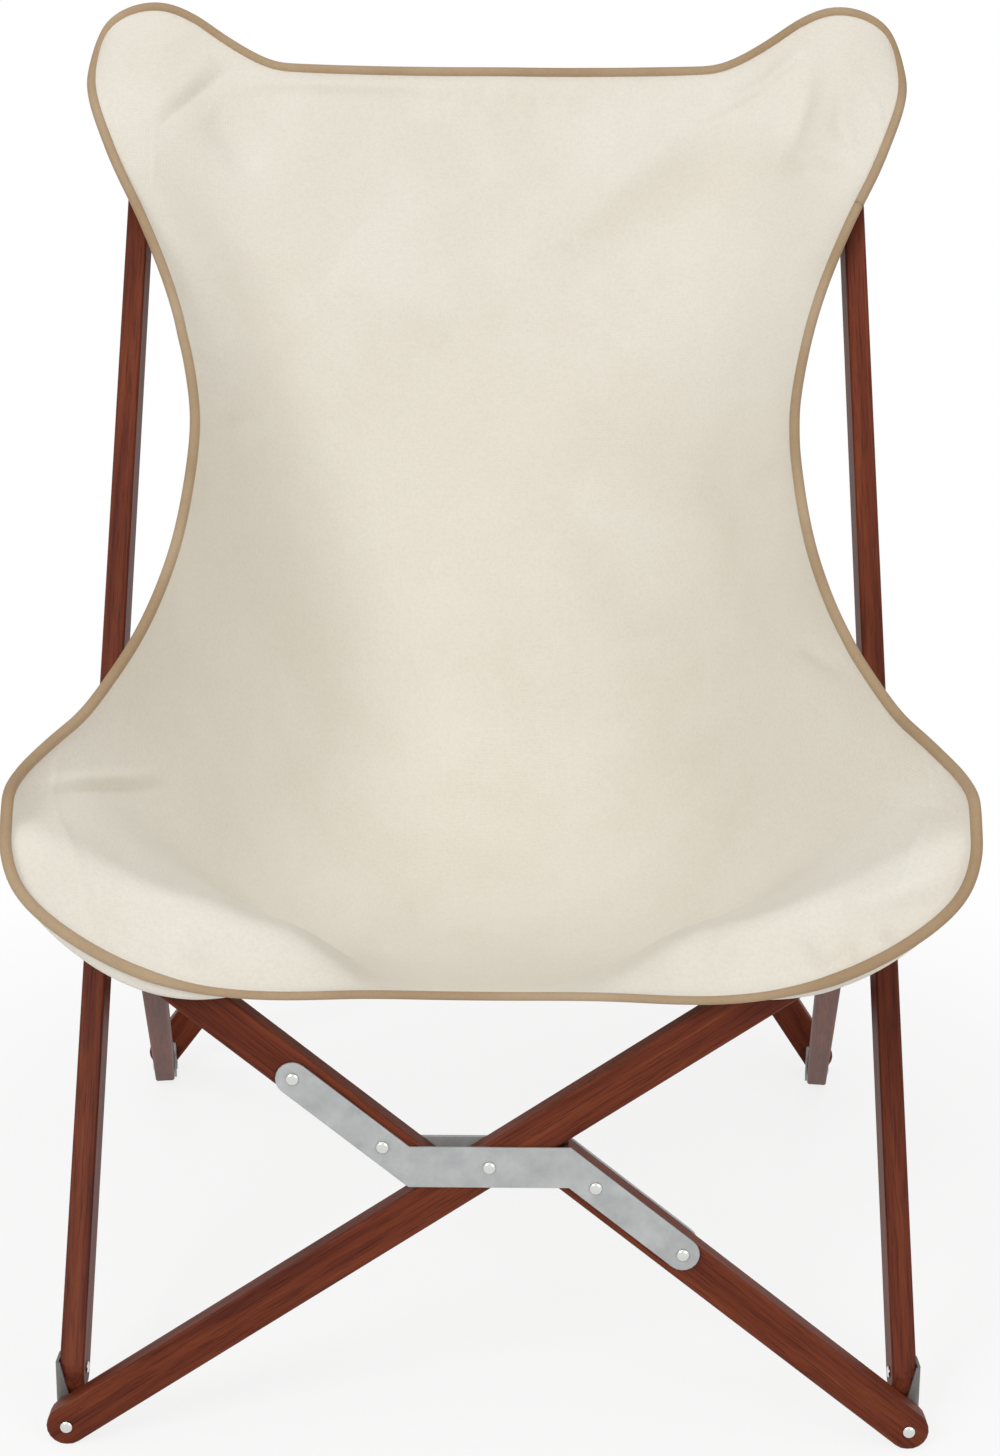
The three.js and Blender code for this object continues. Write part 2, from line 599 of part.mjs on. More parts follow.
// A point of the canvas: across from -1 to 1, along from 0 at the front edge to 1 at the top edge
function canvasPoint(across, along) {
  const out = Math.abs(across);
  const side = across < 0 ? -1 : 1;
  const share = Math.pow(out, seatHollow);
  const edge = sideEdge.getPointAt(along);
  const middle = middleLine.getPointAt(along);
  const front = frontEdge.getPointAt(1 - out);
  const top = topEdge.getPointAt(1 - out);
  const corners = [frontEdge.getPointAt(0), frontEdge.getPointAt(1), topEdge.getPointAt(0), topEdge.getPointAt(1)];
  const blend = (name, weight) => {
    const ruled = middle[name] * (1 - weight) + edge[name] * weight;
    const low = front[name] - corners[1][name] * (1 - weight) - corners[0][name] * weight;
    const high = top[name] - corners[3][name] * (1 - weight) - corners[2][name] * weight;
    return ruled + low * (1 - along) + high * along;
  };
  const point = new THREE.Vector3(blend('x', out), blend('y', share), blend('z', share));
  const spread = Math.sin(Math.PI * Math.min(1, out * 1.1)) * Math.pow(Math.sin(Math.PI * along), 2);
  const ripple = foldDepth * spread * Math.sin(foldCount * Math.PI * (out + 1.4 * along));
  point.addScaledVector(new THREE.Vector3(0, -0.7, 0.7), ripple);
  if (side > 0) point.x = -point.x;

  // Over the front lath's upper end: down its front face, over its top, and over the side lath behind it
  const arm = seatArm(side);
  const from = point.clone().sub(arm.origin);
  const run = from.dot(arm.along);
  const ahead = from.dot(frontAhead);
  const faceGap = barThickness / 2 + canvasClearance;
  if (ahead < faceGap && run > armCoverStart && run < arm.reach + canvasClearance) {
    const fade = Math.min(1, (run - armCoverStart) / armCoverFade);
    const behind = Math.max(0, -ahead - armCoverDepth);
    const top = barWidth / 2 + armCoverLift - behind * armCoverSlope;
    liftTo(point, arm.origin, arm.up, top - (1 - fade) * barWidth);
  }

  // In front of the post's upper end
  const beside = Math.max(0, Math.abs(point.x - side * postHalfSpread) - barThickness / 2 - canvasClearance);
  const postRun = point.clone().sub(postBase(side)).dot(postAlong);
  if (postRun > postCoverStart && postRun < postLength + canvasClearance) {
    liftTo(point, postBase(side), postFront, barWidth / 2 + postCanvasGap - beside * postCoverSlope);
  }
  return point;
}

// A closed sheet of even thickness from a grid of points
function sheetGeometry(rows) {
  const rowCount = rows.length;
  const lineCount = rows[0].length;
  const at = (i, j) => i * lineCount + j;
  const flat = rows.flat();
  const faces = [];
  for (let i = 0; i + 1 < rowCount; i += 1) {
    for (let j = 0; j + 1 < lineCount; j += 1) {
      faces.push([at(i, j), at(i, j + 1), at(i + 1, j + 1)], [at(i, j), at(i + 1, j + 1), at(i + 1, j)]);
    }
  }
  const normals = flat.map(() => new THREE.Vector3());
  faces.forEach(([a, b, c]) => {
    const normal = flat[b].clone().sub(flat[a]).cross(flat[c].clone().sub(flat[a]));
    [a, b, c].forEach((index) => normals[index].add(normal));
  });
  const positions = [];
  const half = canvasThickness / 2;
  [half, -half].forEach((shift) => flat.forEach((point, index) => {
    const moved = point.clone().addScaledVector(normals[index].clone().normalize(), shift);
    positions.push(moved.x, moved.y, moved.z);
  }));
  const count = flat.length;
  const triangles = [];
  faces.forEach(([a, b, c]) => triangles.push(a, b, c, count + a, count + c, count + b));
  const rim = [];
  for (let j = 0; j + 1 < lineCount; j += 1) rim.push(at(0, j));
  for (let i = 0; i + 1 < rowCount; i += 1) rim.push(at(i, lineCount - 1));
  for (let j = lineCount - 1; j > 0; j -= 1) rim.push(at(rowCount - 1, j));
  for (let i = rowCount - 1; i > 0; i -= 1) rim.push(at(i, 0));
  rim.forEach((a, index) => {
    const b = rim[(index + 1) % rim.length];
    triangles.push(a, count + a, count + b, a, count + b, b);
  });
  const geometry = new THREE.BufferGeometry();
  geometry.setAttribute('position', new THREE.BufferAttribute(new Float32Array(positions), 3));
  geometry.setIndex(triangles);
  geometry.computeVertexNormals();
  return geometry;
}

// Lines of the canvas lie closer at the front hem, where it turns over the laths
function alongLine(index) {
  if (index === 1) return hemDrop;
  const even = Math.max(0, index - 1) / (canvasLines - 1);
  return 0.35 * even + 0.65 * (0.5 - 0.5 * Math.cos(Math.PI * even));
}

const slingRows = [];
for (let i = 0; i <= canvasLines; i += 1) {
  const along = alongLine(i);
  const row = [];
  for (let j = 0; j <= canvasLines; j += 1) {
    const step = 2 * j / canvasLines - 1;
    row.push(canvasPoint(0.4 * step + 0.6 * Math.sin(step * Math.PI / 2), along));
  }
  slingRows.push(row);
}
addMesh(chair, 'sling', sheetGeometry(slingRows), canvas);

// Piping sewn round the whole edge, with its butt joint at the right ear
function edgePlace(turn) {
  const part = ((turn % 4) + 4) % 4;
  if (part < 1) return [2 * part - 1, 0];
  if (part < 2) return [1, part - 1];
  if (part < 3) return [1 - 2 * (part - 2), 1];
  return [-1, 1 - (part - 3)];
}

function pipingPoint(turn) {
  const [across, along] = edgePlace(turn);
  const here = canvasPoint(across, along);
  const before = canvasPoint(...edgePlace(turn - 0.05));
  const after = canvasPoint(...edgePlace(turn + 0.05));
  const run = after.clone().sub(before).normalize();
  const inside = canvasPoint(across * 0.8, 0.5 + (along - 0.5) * 0.84);
  const outward = here.clone().sub(inside);
  outward.addScaledVector(run, -outward.dot(run)).normalize();
  const fromCorner = turn - Math.round(turn);
  const ease = pipingCornerEase * Math.exp(-Math.pow(fromCorner / 0.07, 2));
  return here.addScaledVector(outward, pipingRadius + canvasThickness / 2 + pipingGap + ease);
}

const pipingJoint = 1.76;
const pipingPoints = [];
for (let index = 0; index <= pipingMarks; index += 1) {
  pipingPoints.push(pipingPoint(pipingJoint + 4 * index / pipingMarks));
}
const lastMark = pipingPoints.length - 1;
const closing = pipingPoints[lastMark - 1].clone().sub(pipingPoints[lastMark]).normalize();
pipingPoints[lastMark].addScaledVector(closing, 2 * runningGap);
const pipingPath = new THREE.CatmullRomCurve3(pipingPoints, false, 'centripetal');
const pipingRing = new THREE.Shape();
pipingRing.absarc(0, 0, pipingRadius, 0, 2 * Math.PI, false);
const piping = new THREE.ExtrudeGeometry(pipingRing, {
  steps: pipingSteps, extrudePath: pipingPath, bevelEnabled: false, curveSegments: pipingSides / 2,
});
addMesh(chair, 'sling_piping', piping, tan);

// Corner pockets sewn behind the canvas: a pocket takes the tip of a front lath or of a post
function pocketRowsAt(side, atTop) {
  const backward = atTop ? postFront.clone().negate() : frontAhead.clone().negate();
  const bulge = atTop ? backward.clone() : new THREE.Vector3(0, 0.55, -0.83);
  const depth = atTop ? earPocketDepth : wingPocketDepth;
  const seam = atTop ? earPocketSeam : wingPocketSeam;
  const rows = [];
  for (let i = 0; i <= pocketRows; i += 1) {
    const share = 0.16 + 0.84 * i / pocketRows;
    const hem = canvasPoint(side * (1 - share * pocketShareAcross), atTop ? 1 : 0);
    const flank = canvasPoint(side, atTop ? 1 - share * pocketShareAlong : share * pocketShareAlong);
    hem.addScaledVector(backward, seam);
    flank.addScaledVector(bulge, seam);
    const fill = depth * Math.min(1, share * 2.4);
    const row = [];
    for (let j = 0; j <= pocketLines; j += 1) {
      const part = j / pocketLines;
      const point = hem.clone().lerp(flank, part);
      row.push(point.addScaledVector(bulge, fill * Math.pow(Math.sin(Math.PI * part), 0.6)));
    }
    rows.push(side < 0 === atTop ? row.reverse() : row);
  }
  return rows;
}

sideNames.forEach(([word, side]) => {
  addMesh(chair, 'wing_pocket_' + word, sheetGeometry(pocketRowsAt(side, false)), canvas);
  addMesh(chair, 'ear_pocket_' + word, sheetGeometry(pocketRowsAt(side, true)), canvas);
});

const box = new THREE.Box3().setFromObject(group, true);
chair.position.set(0, -(box.min.y + box.max.y) / 2, -box.min.z);
group.updateMatrixWorld(true);

export default group;
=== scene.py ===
import json
import math
import bpy
import numpy as np
from mathutils import Matrix, Vector

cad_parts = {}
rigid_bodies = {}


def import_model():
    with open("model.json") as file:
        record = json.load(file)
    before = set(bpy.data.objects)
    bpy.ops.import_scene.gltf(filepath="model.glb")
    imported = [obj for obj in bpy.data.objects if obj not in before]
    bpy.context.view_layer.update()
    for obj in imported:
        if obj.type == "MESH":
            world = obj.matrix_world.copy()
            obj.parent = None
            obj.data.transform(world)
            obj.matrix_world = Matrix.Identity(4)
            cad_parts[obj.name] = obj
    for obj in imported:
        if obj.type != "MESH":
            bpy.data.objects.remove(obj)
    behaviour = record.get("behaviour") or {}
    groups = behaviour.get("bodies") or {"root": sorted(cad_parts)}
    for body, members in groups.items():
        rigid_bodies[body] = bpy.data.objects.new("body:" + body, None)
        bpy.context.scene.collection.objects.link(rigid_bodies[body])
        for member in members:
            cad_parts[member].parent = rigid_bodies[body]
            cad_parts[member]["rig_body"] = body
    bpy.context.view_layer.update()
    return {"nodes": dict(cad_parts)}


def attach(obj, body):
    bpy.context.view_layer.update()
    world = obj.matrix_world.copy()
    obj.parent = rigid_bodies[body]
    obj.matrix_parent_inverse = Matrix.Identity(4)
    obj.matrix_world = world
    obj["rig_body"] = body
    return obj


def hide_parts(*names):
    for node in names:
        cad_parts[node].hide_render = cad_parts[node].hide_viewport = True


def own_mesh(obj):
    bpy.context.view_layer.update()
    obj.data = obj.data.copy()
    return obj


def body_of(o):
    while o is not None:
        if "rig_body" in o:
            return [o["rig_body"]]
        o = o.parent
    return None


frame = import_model()
bpy.context.scene.view_settings.view_transform = "Standard"

# Sizes shared with the frame, in millimetres from the front plane at the floor
DEPTH_SHIFT = -332.396
BAR_WIDTH = 28.0
BAR_THICKNESS = 17.0
FRONT_LEAN = math.radians(4.2)
FRONT_PIVOT_HEIGHT = 209.0
FRONT_FOOT_HEIGHT = 13.0
FRONT_FOOT_SPREAD = 292.0
SEAT_JOINT_SPREAD = 231.6
SEAT_JOINT_HEIGHT = 360.0
SEAT_TIP_REACH = 78.0
SPLIT_OFFSET = 31.0
POST_SPREAD = 291.0
POST_LEAN = math.radians(35.15)
POST_PIVOT_DEPTH = 28.2
POST_PIVOT_HEIGHT = 38.4
POST_TIP_HEIGHT = 926.0
SIDE_TOP = (231.6, 54.5, 362.5)
SIDE_FOOT = (300.5, 564.5, 13.0)

# Canvas: thickness, grid counts, hollow of the seat, and relaxing towards neighbours
CANVAS_THICKNESS = 1.6
CANVAS_ACROSS = 230
CANVAS_ALONG = 310
SEAT_HOLLOW = 2.2
CLEARING_ROUNDS = 3
RELAX_STEPS = 20
RELAX_PULL = 0.6
HEM_PULL = 0.5
OUTSET_SPAN = 8

# Piping: its ends meet on the right flank, and it is thinner along the front hem
PIPING_RADIUS = 4.0
PIPING_OUTSET = 3.2
PIPING_SIDES = 14
PIPING_STEP = 4.0
PIPING_PASSES = 6
PIPING_END_GAP = 0.6
PIPING_END_PLACE = 0.76
FRONT_PIPING_RADIUS = 2.9
FRONT_HEM_TOP = 352.0
FRONT_HEM_FADE = 10.0
FRONT_HEM_BACK = 60.0

# How the canvas keeps clear of the laths: room left, and slope of the run-out for each grid step
LATH_CLEARANCE = 1.6
LATH_ROOM = 3.0
RUN_OUT_SLOPE = 0.35
RUN_OUT_STEPS = 30
FRONT_PLANE_MARGIN = 6.0
# Front arms: where along them the cloth starts to be held up, and how far it is held before and behind them
ARM_START = 110.0
ARM_FADE = 60.0
ARM_OVERRUN = 14.0
ARM_DIP = 26.0
ARM_BELOW = 40.0
ARM_BEHIND = 70.0
ARM_SLOPE_START = 40.0
ARM_SLOPE = 0.4
# Side laths, from their top joint
RAIL_START = -16.0
RAIL_END = 260.0
RAIL_BESIDE = 6.0
# Posts, from their pivot; the push fades out past the tip
POST_START = 600.0
POST_PAST_TIP = 34.0
POST_TIP_FADE = 24.0
POST_SLACK = 2.0
POST_BESIDE = 80.0
POST_SIDE_SLOPE = 0.9

# Pockets: shares of the canvas they cover, and their backs: way and depth of the bulge, and how fast it fills
POCKET_ACROSS = 0.28
POCKET_ALONG = 0.12
POCKET_ROWS = 26
POCKET_LINES = 40
POCKET_START = 0.012
POCKET_ROUNDNESS = 0.6
POCKET_RELAX_STEPS = 4
EAR_POCKET = {"bulge": (0, 1.0, -0.15), "depth": 48.0, "seam": 1.6, "fill": 2.2, "power": 0.7}
WING_POCKET = {"bulge": (0, 0.55, -0.83), "depth": 34.0, "seam": 3.0, "fill": 2.4, "power": 1.0}
EAR_SEAM_HEIGHT = 0.9
WING_SEAM_HEIGHT = 0.7
SEAM_WIDTH = 0.045

# Lips of the wing pockets under the front hem: drops, ends, and a section of shares of the drop with depths
LIP_DROPS = {-1: 15.0, 1: 10.0}
LIP_INNER = 160.0
LIP_OUTER = 321.0
LIP_ROUNDNESS = 0.8
LIP_SECTION = [(0.05, 2.0), (0.3, 3.0), (0.6, 3.8), (0.85, 4.6), (0.97, 5.8), (1.0, 7.0), (0.97, 8.2)]

# Post feet: how much further the back edge reaches down behind the front lath
FOOT_SLANT = 13.0
FOOT_CORNER = 3.0

# Rivets, in metres: how far from an end the head or the tail is looked for, and the turned profile
RIVET_SIDES = 28
RIVET_DOME_STEPS = 8
RIVET_END = 0.004
RIVET_TAIL_END = 0.003
RIVET_SHANK = 0.0024
RIVET_SHANK_SHARE = 0.55
RIVET_HEAD_SHARE = 0.98
RIVET_STUB = 1.2
TAIL_FLAT = 0.86
TAIL_CORNER = 0.0005
TAIL_TOP = 0.0012
TAIL_NECK = 0.0013
HEAD_RIM = 0.22

# Looks and studio
GRAIN_SHIFT = 0.37
FLOOR_SIZE = 30
FLOOR_DROP = 0.0005
WORLD_LIGHT = 0.42

# Photo camera
CAMERA_PLACE = (2.6, -1436.4, 979.9)
CAMERA_PITCH = math.radians(17.7)
CAMERA_YAW = math.radians(0.1)
CAMERA_ROLL = math.radians(0.4)
FOCAL_PIXELS = 2387.8
PHOTO_WIDTH = 1000
PHOTO_HEIGHT = 1456
SENSOR_WIDTH = 36

# Outline of the sling's left half, and its middle line from the front hem to the top hem
SIDE_EDGE = [
    (-316, 24, 435), (-313, 68, 448), (-296, 110, 467), (-272, 160, 493), (-251, 212, 523),
    (-235, 275, 565), (-229, 340, 612), (-230, 385, 648), (-241, 432, 691), (-258, 478, 734),
    (-284, 524, 786), (-314, 570, 840), (-333, 606, 884), (-332, 640, 913),
]
FRONT_EDGE = [
    (-316, 24, 435), (-310, 14, 415), (-292, 11, 395), (-270, 9, 378), (-246, 7, 364), (-224, 6, 354),
    (-195, 5, 346), (-166, 5, 341), (-84, 3, 338), (0, 2, 337),
]
TOP_EDGE = [
    (-332, 640, 913), (-324, 649, 928), (-304, 655, 939), (-279, 657, 941), (-256, 656, 932),
    (-231, 653, 915), (-206, 651, 900), (-186, 651, 892), (-163, 653, 890), (-110, 658, 888),
    (-53, 663, 887), (0, 667, 887),
]
MIDDLE_LINE = [
    (0, 2, 336), (0, 60, 313), (0, 150, 283), (0, 240, 267), (0, 320, 272), (0, 390, 303),
    (0, 445, 356), (0, 490, 430), (0, 534, 525), (0, 582, 652), (0, 628, 784), (0, 667, 891),
]


# Geometry helpers
def unit(vector):
    """The vector at length 1."""
    vector = np.asarray(vector, float)
    return vector / np.linalg.norm(vector)


def smooth_line(points, steps=60):
    """A function from a share of the length, 0 to 1, to a point of a smooth curve through the points."""
    knots = [np.array(p, float) for p in points]
    first = 2 * knots[0] - knots[1]
    last = 2 * knots[-1] - knots[-2]
    knots = [first] + knots + [last]
    dense = []
    for i in range(1, len(knots) - 2):
        p0, p1, p2, p3 = knots[i - 1:i + 3]
        t1 = np.linalg.norm(p1 - p0) ** 0.5
        t2 = t1 + np.linalg.norm(p2 - p1) ** 0.5
        t3 = t2 + np.linalg.norm(p3 - p2) ** 0.5
        for t in np.linspace(t1, t2, steps, endpoint=False):
            a1 = (t1 - t) / t1 * p0 + t / t1 * p1
            a2 = (t2 - t) / (t2 - t1) * p1 + (t - t1) / (t2 - t1) * p2
            a3 = (t3 - t) / (t3 - t2) * p2 + (t - t2) / (t3 - t2) * p3
            b1 = (t2 - t) / t2 * a1 + t / t2 * a2
            b2 = (t3 - t) / (t3 - t1) * a2 + (t - t1) / (t3 - t1) * a3
            dense.append((t2 - t) / (t2 - t1) * b1 + (t - t1) / (t2 - t1) * b2)
    dense.append(knots[-2])
    dense = np.array(dense)
    lengths = np.concatenate([[0], np.cumsum(np.linalg.norm(np.diff(dense, axis=0), axis=1))])
    lengths = lengths / lengths[-1]

    def at(share):
        return np.stack([np.interp(share, lengths, dense[:, k]) for k in range(3)], axis=-1)
    return at


side_edge = smooth_line(SIDE_EDGE)
front_edge = smooth_line(FRONT_EDGE)
top_edge = smooth_line(TOP_EDGE)
middle_line = smooth_line(MIDDLE_LINE)

front_up = np.array([0, math.sin(FRONT_LEAN), math.cos(FRONT_LEAN)])
front_ahead = np.array([0, -math.cos(FRONT_LEAN), math.sin(FRONT_LEAN)])
post_along = np.array([0, math.sin(POST_LEAN), math.cos(POST_LEAN)])
post_front = np.array([0, -math.cos(POST_LEAN), math.sin(POST_LEAN)])
right = np.array([1.0, 0, 0])


def post_base(side):
    """The pivot at the foot of a post."""
    return np.array([side * POST_SPREAD, POST_PIVOT_DEPTH, POST_PIVOT_HEIGHT])


def front_arm(side):
    """Origin, long axis, upward axis and reach of a front lath's upper end."""
    rise = FRONT_PIVOT_HEIGHT - FRONT_FOOT_HEIGHT
    angle = math.atan2(rise, FRONT_FOOT_SPREAD)
    shift = 0.0
    if side < 0:
        angle += math.asin(SPLIT_OFFSET / math.hypot(FRONT_FOOT_SPREAD, rise))
        shift = -SPLIT_OFFSET
    along = side * math.cos(angle) * right + math.sin(angle) * front_up
    up = -side * math.sin(angle) * right + math.cos(angle) * front_up
    origin = FRONT_PIVOT_HEIGHT * front_up + shift * up
    reach = math.hypot(SEAT_JOINT_SPREAD, SEAT_JOINT_HEIGHT - FRONT_PIVOT_HEIGHT) + SEAT_TIP_REACH
    return origin, along, up, reach


def base_canvas(across, along):
    """The hanging canvas without folds. Both are arrays of one shape; across runs -1 to 1, along 0 to 1."""
    out = np.abs(across)
    side = np.where(across < 0, -1.0, 1.0)
    share = out ** SEAT_HOLLOW
    edge = side_edge(along)
    middle = middle_line(along)
    front = front_edge(1 - out)
    top = top_edge(1 - out)
    weight = np.stack([out, share, share], axis=-1)
    rise = along[..., None]
    ruled = middle * (1 - weight) + edge * weight
    low = front - front_edge(1.0) * (1 - weight) - front_edge(0.0) * weight
    high = top - top_edge(1.0) * (1 - weight) - top_edge(0.0) * weight
    point = ruled + low * (1 - rise) + high * rise
    point[..., 0] *= -side
    return point


def shortfall(points, origin, way, height, where):
    """How far short of a height over a plane the points lie, where that counts."""
    return np.maximum(0, height - (points - origin) @ way) * where


def lath_needs(points, room):
    """How far up and how far ahead points must go to clear the laths by some room."""
    rise = np.zeros(points.shape[:-1])
    ahead = np.zeros(points.shape[:-1])
    for side in (-1.0, 1.0):
        origin, along, up, reach = front_arm(side)
        from_arm = points - origin
        run = from_arm @ along
        before = from_arm @ front_ahead
        above = from_arm @ up
        fade = np.clip((run - ARM_START) / ARM_FADE, 0, 1)
        reached = (run > ARM_START) & (run < reach + ARM_OVERRUN)
        slope_drop = np.maximum(0, -before - ARM_SLOPE_START) * ARM_SLOPE
        top_gap = BAR_WIDTH / 2 + room - (1 - fade) * ARM_DIP - slope_drop
        front_gap = BAR_THICKNESS / 2 + room
        in_front = reached & (before > 0) & (above < top_gap) & (above > -ARM_BELOW)
        ahead = np.maximum(ahead, shortfall(points, origin, front_ahead, front_gap, in_front))
        over = reached & (before <= 0) & (before > -ARM_BEHIND)
        rise = np.maximum(rise, shortfall(points, origin, up, top_gap, over) / up[2])
        top = np.array([side * SIDE_TOP[0], SIDE_TOP[1], SIDE_TOP[2]])
        foot = np.array([side * SIDE_FOOT[0], SIDE_FOOT[1], SIDE_FOOT[2]])
        rail = unit(foot - top)
        rail_up = unit(np.array([0, 0, 1.0]) - rail[2] * rail)
        run = (points - top) @ rail
        beside = np.abs((points - top) @ unit(np.cross(rail, rail_up)))
        near = (run > RAIL_START) & (run < RAIL_END) & (beside < BAR_THICKNESS / 2 + RAIL_BESIDE)
        rise = np.maximum(rise, shortfall(points, top, rail_up, BAR_WIDTH / 2 + room, near) / rail_up[2])
        base = post_base(side)
        run = (points - base) @ post_along
        length = (POST_TIP_HEIGHT - POST_PIVOT_HEIGHT) / math.cos(POST_LEAN)
        beside = np.abs(points[..., 0] - side * POST_SPREAD) - BAR_THICKNESS / 2 - POST_SLACK
        beside = np.maximum(0, beside)
        before_tip = np.clip((length + POST_PAST_TIP - run) / POST_TIP_FADE, 0, 1)
        near = (run > POST_START) * before_tip * (beside < POST_BESIDE)
        gap = BAR_WIDTH / 2 + room - POST_SIDE_SLOPE * beside
        ahead = np.maximum(ahead, shortfall(points, base, post_front, gap, near) / -post_front[1])
    return rise, ahead


def spread(need, slope, steps):
    """A field that meets a need everywhere, falls off slowly around it and is smooth."""
    field = need.copy()
    for _ in range(steps):
        field[1:] = np.maximum(field[1:], field[:-1] - slope)
        field[:-1] = np.maximum(field[:-1], field[1:] - slope)
        field[:, 1:] = np.maximum(field[:, 1:], field[:, :-1] - slope)
        field[:, :-1] = np.maximum(field[:, :-1], field[:, 1:] - slope)
    for _ in range(steps):
        padded = np.pad(field, 1, mode="edge")
        field = (padded[:-2, 1:-1] + padded[2:, 1:-1] + padded[1:-1, :-2] + padded[1:-1, 2:]) / 4
    return field


def clear_of_frame(points, room, slope=0.0, steps=0):
    """Canvas points moved up and ahead of the laths, with a wide soft run-out where a slope is given."""
    rise, ahead = lath_needs(points, room)
    if steps:
        behind = np.clip((FRONT_PLANE_MARGIN - points @ front_ahead) / (2 * FRONT_PLANE_MARGIN), 0, 1)
        rise = spread(rise, slope, steps) * behind
        ahead = spread(ahead, slope, steps)
    moved = points.copy()
    moved[..., 2] += rise
    moved[..., 1] -= ahead
    return moved


def project(points):
    """Photo pixels of points in the chair's millimetres."""
    offset = points - np.array(CAMERA_PLACE)
    level_share = math.cos(CAMERA_YAW) * math.cos(CAMERA_PITCH)
    forward = np.array([math.sin(CAMERA_YAW), level_share, -math.sin(CAMERA_PITCH)])
    level = np.array([math.cos(CAMERA_YAW), -math.sin(CAMERA_YAW), 0])
    above = np.cross(level, forward)
    x = offset @ level
    y = offset @ above
    depth = offset @ forward
    turned_x = x * math.cos(CAMERA_ROLL) - y * math.sin(CAMERA_ROLL)
    turned_y = x * math.sin(CAMERA_ROLL) + y * math.cos(CAMERA_ROLL)
    pixel_x = PHOTO_WIDTH / 2 + FOCAL_PIXELS * turned_x / depth
    pixel_y = PHOTO_HEIGHT / 2 - FOCAL_PIXELS * turned_y / depth
    return np.stack([pixel_x, pixel_y], axis=-1)


# Soft folds seen in the photo: a path in photo pixels, its half width in pixels and its height in millimetres
FOLDS = [
    ([(540, 252), (605, 188), (722, 92)], 26, 6.5),
    ([(610, 268), (690, 202), (792, 150)], 30, -4.5),
    ([(330, 262), (385, 298), (450, 330)], 36, 4.0),
    ([(150, 150), (215, 225), (300, 320)], 28, -3.2),
    ([(560, 505), (615, 540), (640, 640)], 38, 5.5),
    ([(600, 775), (660, 742), (740, 705)], 26, 4.5),
    ([(690, 480), (720, 560), (730, 640)], 30, -4.2),
    ([(250, 560), (300, 680), (330, 790)], 44, 3.2),
    ([(206, 62), (172, 92), (136, 118)], 12, 2.4),
    ([(200, 116), (230, 150), (250, 180)], 18, -3.0),
    ([(222, 88), (300, 85), (425, 90)], 8, 2.2),
    ([(708, 112), (756, 84), (800, 44)], 9, 3.0),
    ([(800, 60), (794, 100), (776, 150)], 12, -3.2),
    ([(838, 90), (832, 120), (846, 150)], 10, 2.6),
    ([(770, 160), (812, 150), (858, 164)], 11, 2.4),
    ([(46, 789), (100, 785), (158, 783)], 7, 3.0),
    ([(845, 905), (890, 890), (950, 868)], 14, 3.0),
    ([(808, 926), (820, 944), (836, 960)], 9, 3.0),
    ([(846, 938), (850, 950), (858, 962)], 7, -2.4),
    ([(880, 926), (890, 938), (900, 948)], 7, -2.4),
    ([(735, 925), (722, 950), (712, 978)], 9, 1.8),
    ([(740, 480), (768, 458), (788, 438)], 9, 2.6),
    ([(798, 640), (822, 652), (846, 668)], 9, 2.4),
    ([(205, 440), (225, 430), (255, 424)], 10, -2.4),
    ([(170, 350), (196, 352), (225, 362)], 9, 1.8),
    ([(345, 960), (370, 930), (420, 915)], 18, 2.2),
    ([(150, 905), (200, 906), (250, 916)], 10, 2.0),
    ([(180, 938), (192, 952), (206, 968)], 7, 2.0),
]
# Sharp creases along the corner seams, in the same terms
CREASES = [
    ([(222, 72), (190, 97), (146, 134)], 5, -2.6),
    ([(684, 134), (752, 92), (806, 48)], 5, -2.8),
    ([(40, 802), (95, 795), (164, 792)], 5, -3.0),
    ([(852, 806), (905, 800), (955, 803)], 4, -1.6),
]
# Short gathers under the top hem: pixel across, length and height
GATHERS = [
    (436, 22, 0.9), (452, 40, 1.3), (468, 28, 1.0), (486, 46, 1.4), (502, 24, 0.9),
    (521, 40, 1.3), (542, 26, 1.0), (566, 34, 1.1), (602, 26, 0.9), (618, 34, 1.1),
]
# Where the gathers start under the hem and their half width, in pixels
GATHER_START = 3.0
GATHER_HALF_WIDTH = 4.5
# The photo's folds and gathers, made deeper to show under the soft light
FOLD_DEPTH = 1.8
GATHER_DEPTH = 2.2
# Relief fades out towards the hems and the flanks
HEM_RELIEF = 110.0
FLANK_RELIEF = 40.0


def path_bump(pixels, path, half_width, power=2.0):
    """A bump along a path of pixels, fading out at its ends: round for a power of 2, sharp for 1."""
    path = np.array(path, float)
    best = np.zeros(pixels.shape[:2])
    total = np.sum(np.linalg.norm(np.diff(path, axis=0), axis=1))
    done = 0.0
    for start, end in zip(path[:-1], path[1:]):
        run = end - start
        length = np.linalg.norm(run)
        share = np.clip(((pixels - start) @ run) / length ** 2, 0, 1)
        gap = np.linalg.norm(pixels - (start + share[..., None] * run), axis=-1)
        place = (done + share * length) / total
        fade = np.sin(np.pi * np.clip(place, 0.02, 0.98)) ** 0.6
        best = np.maximum(best, np.exp(-(gap / half_width) ** power) * fade)
        done += length
    return best


def surface_normals(grid):
    """Unit normals of a grid of points."""
    along_way = np.gradient(grid, axis=0)
    across_way = np.gradient(grid, axis=1)
    normal = np.cross(across_way, along_way)
    return normal / np.linalg.norm(normal, axis=-1, keepdims=True)


def relax(grid):
    """Draws the inner points of a grid, and its first row, towards the middle of their neighbours."""
    middle = (grid[:-2, 1:-1] + grid[2:, 1:-1] + grid[1:-1, :-2] + grid[1:-1, 2:]) / 4
    grid[1:-1, 1:-1] += RELAX_PULL * (middle - grid[1:-1, 1:-1])
    grid[0, 1:-1] += HEM_PULL * ((grid[0, :-2] + grid[0, 2:]) / 2 - grid[0, 1:-1])


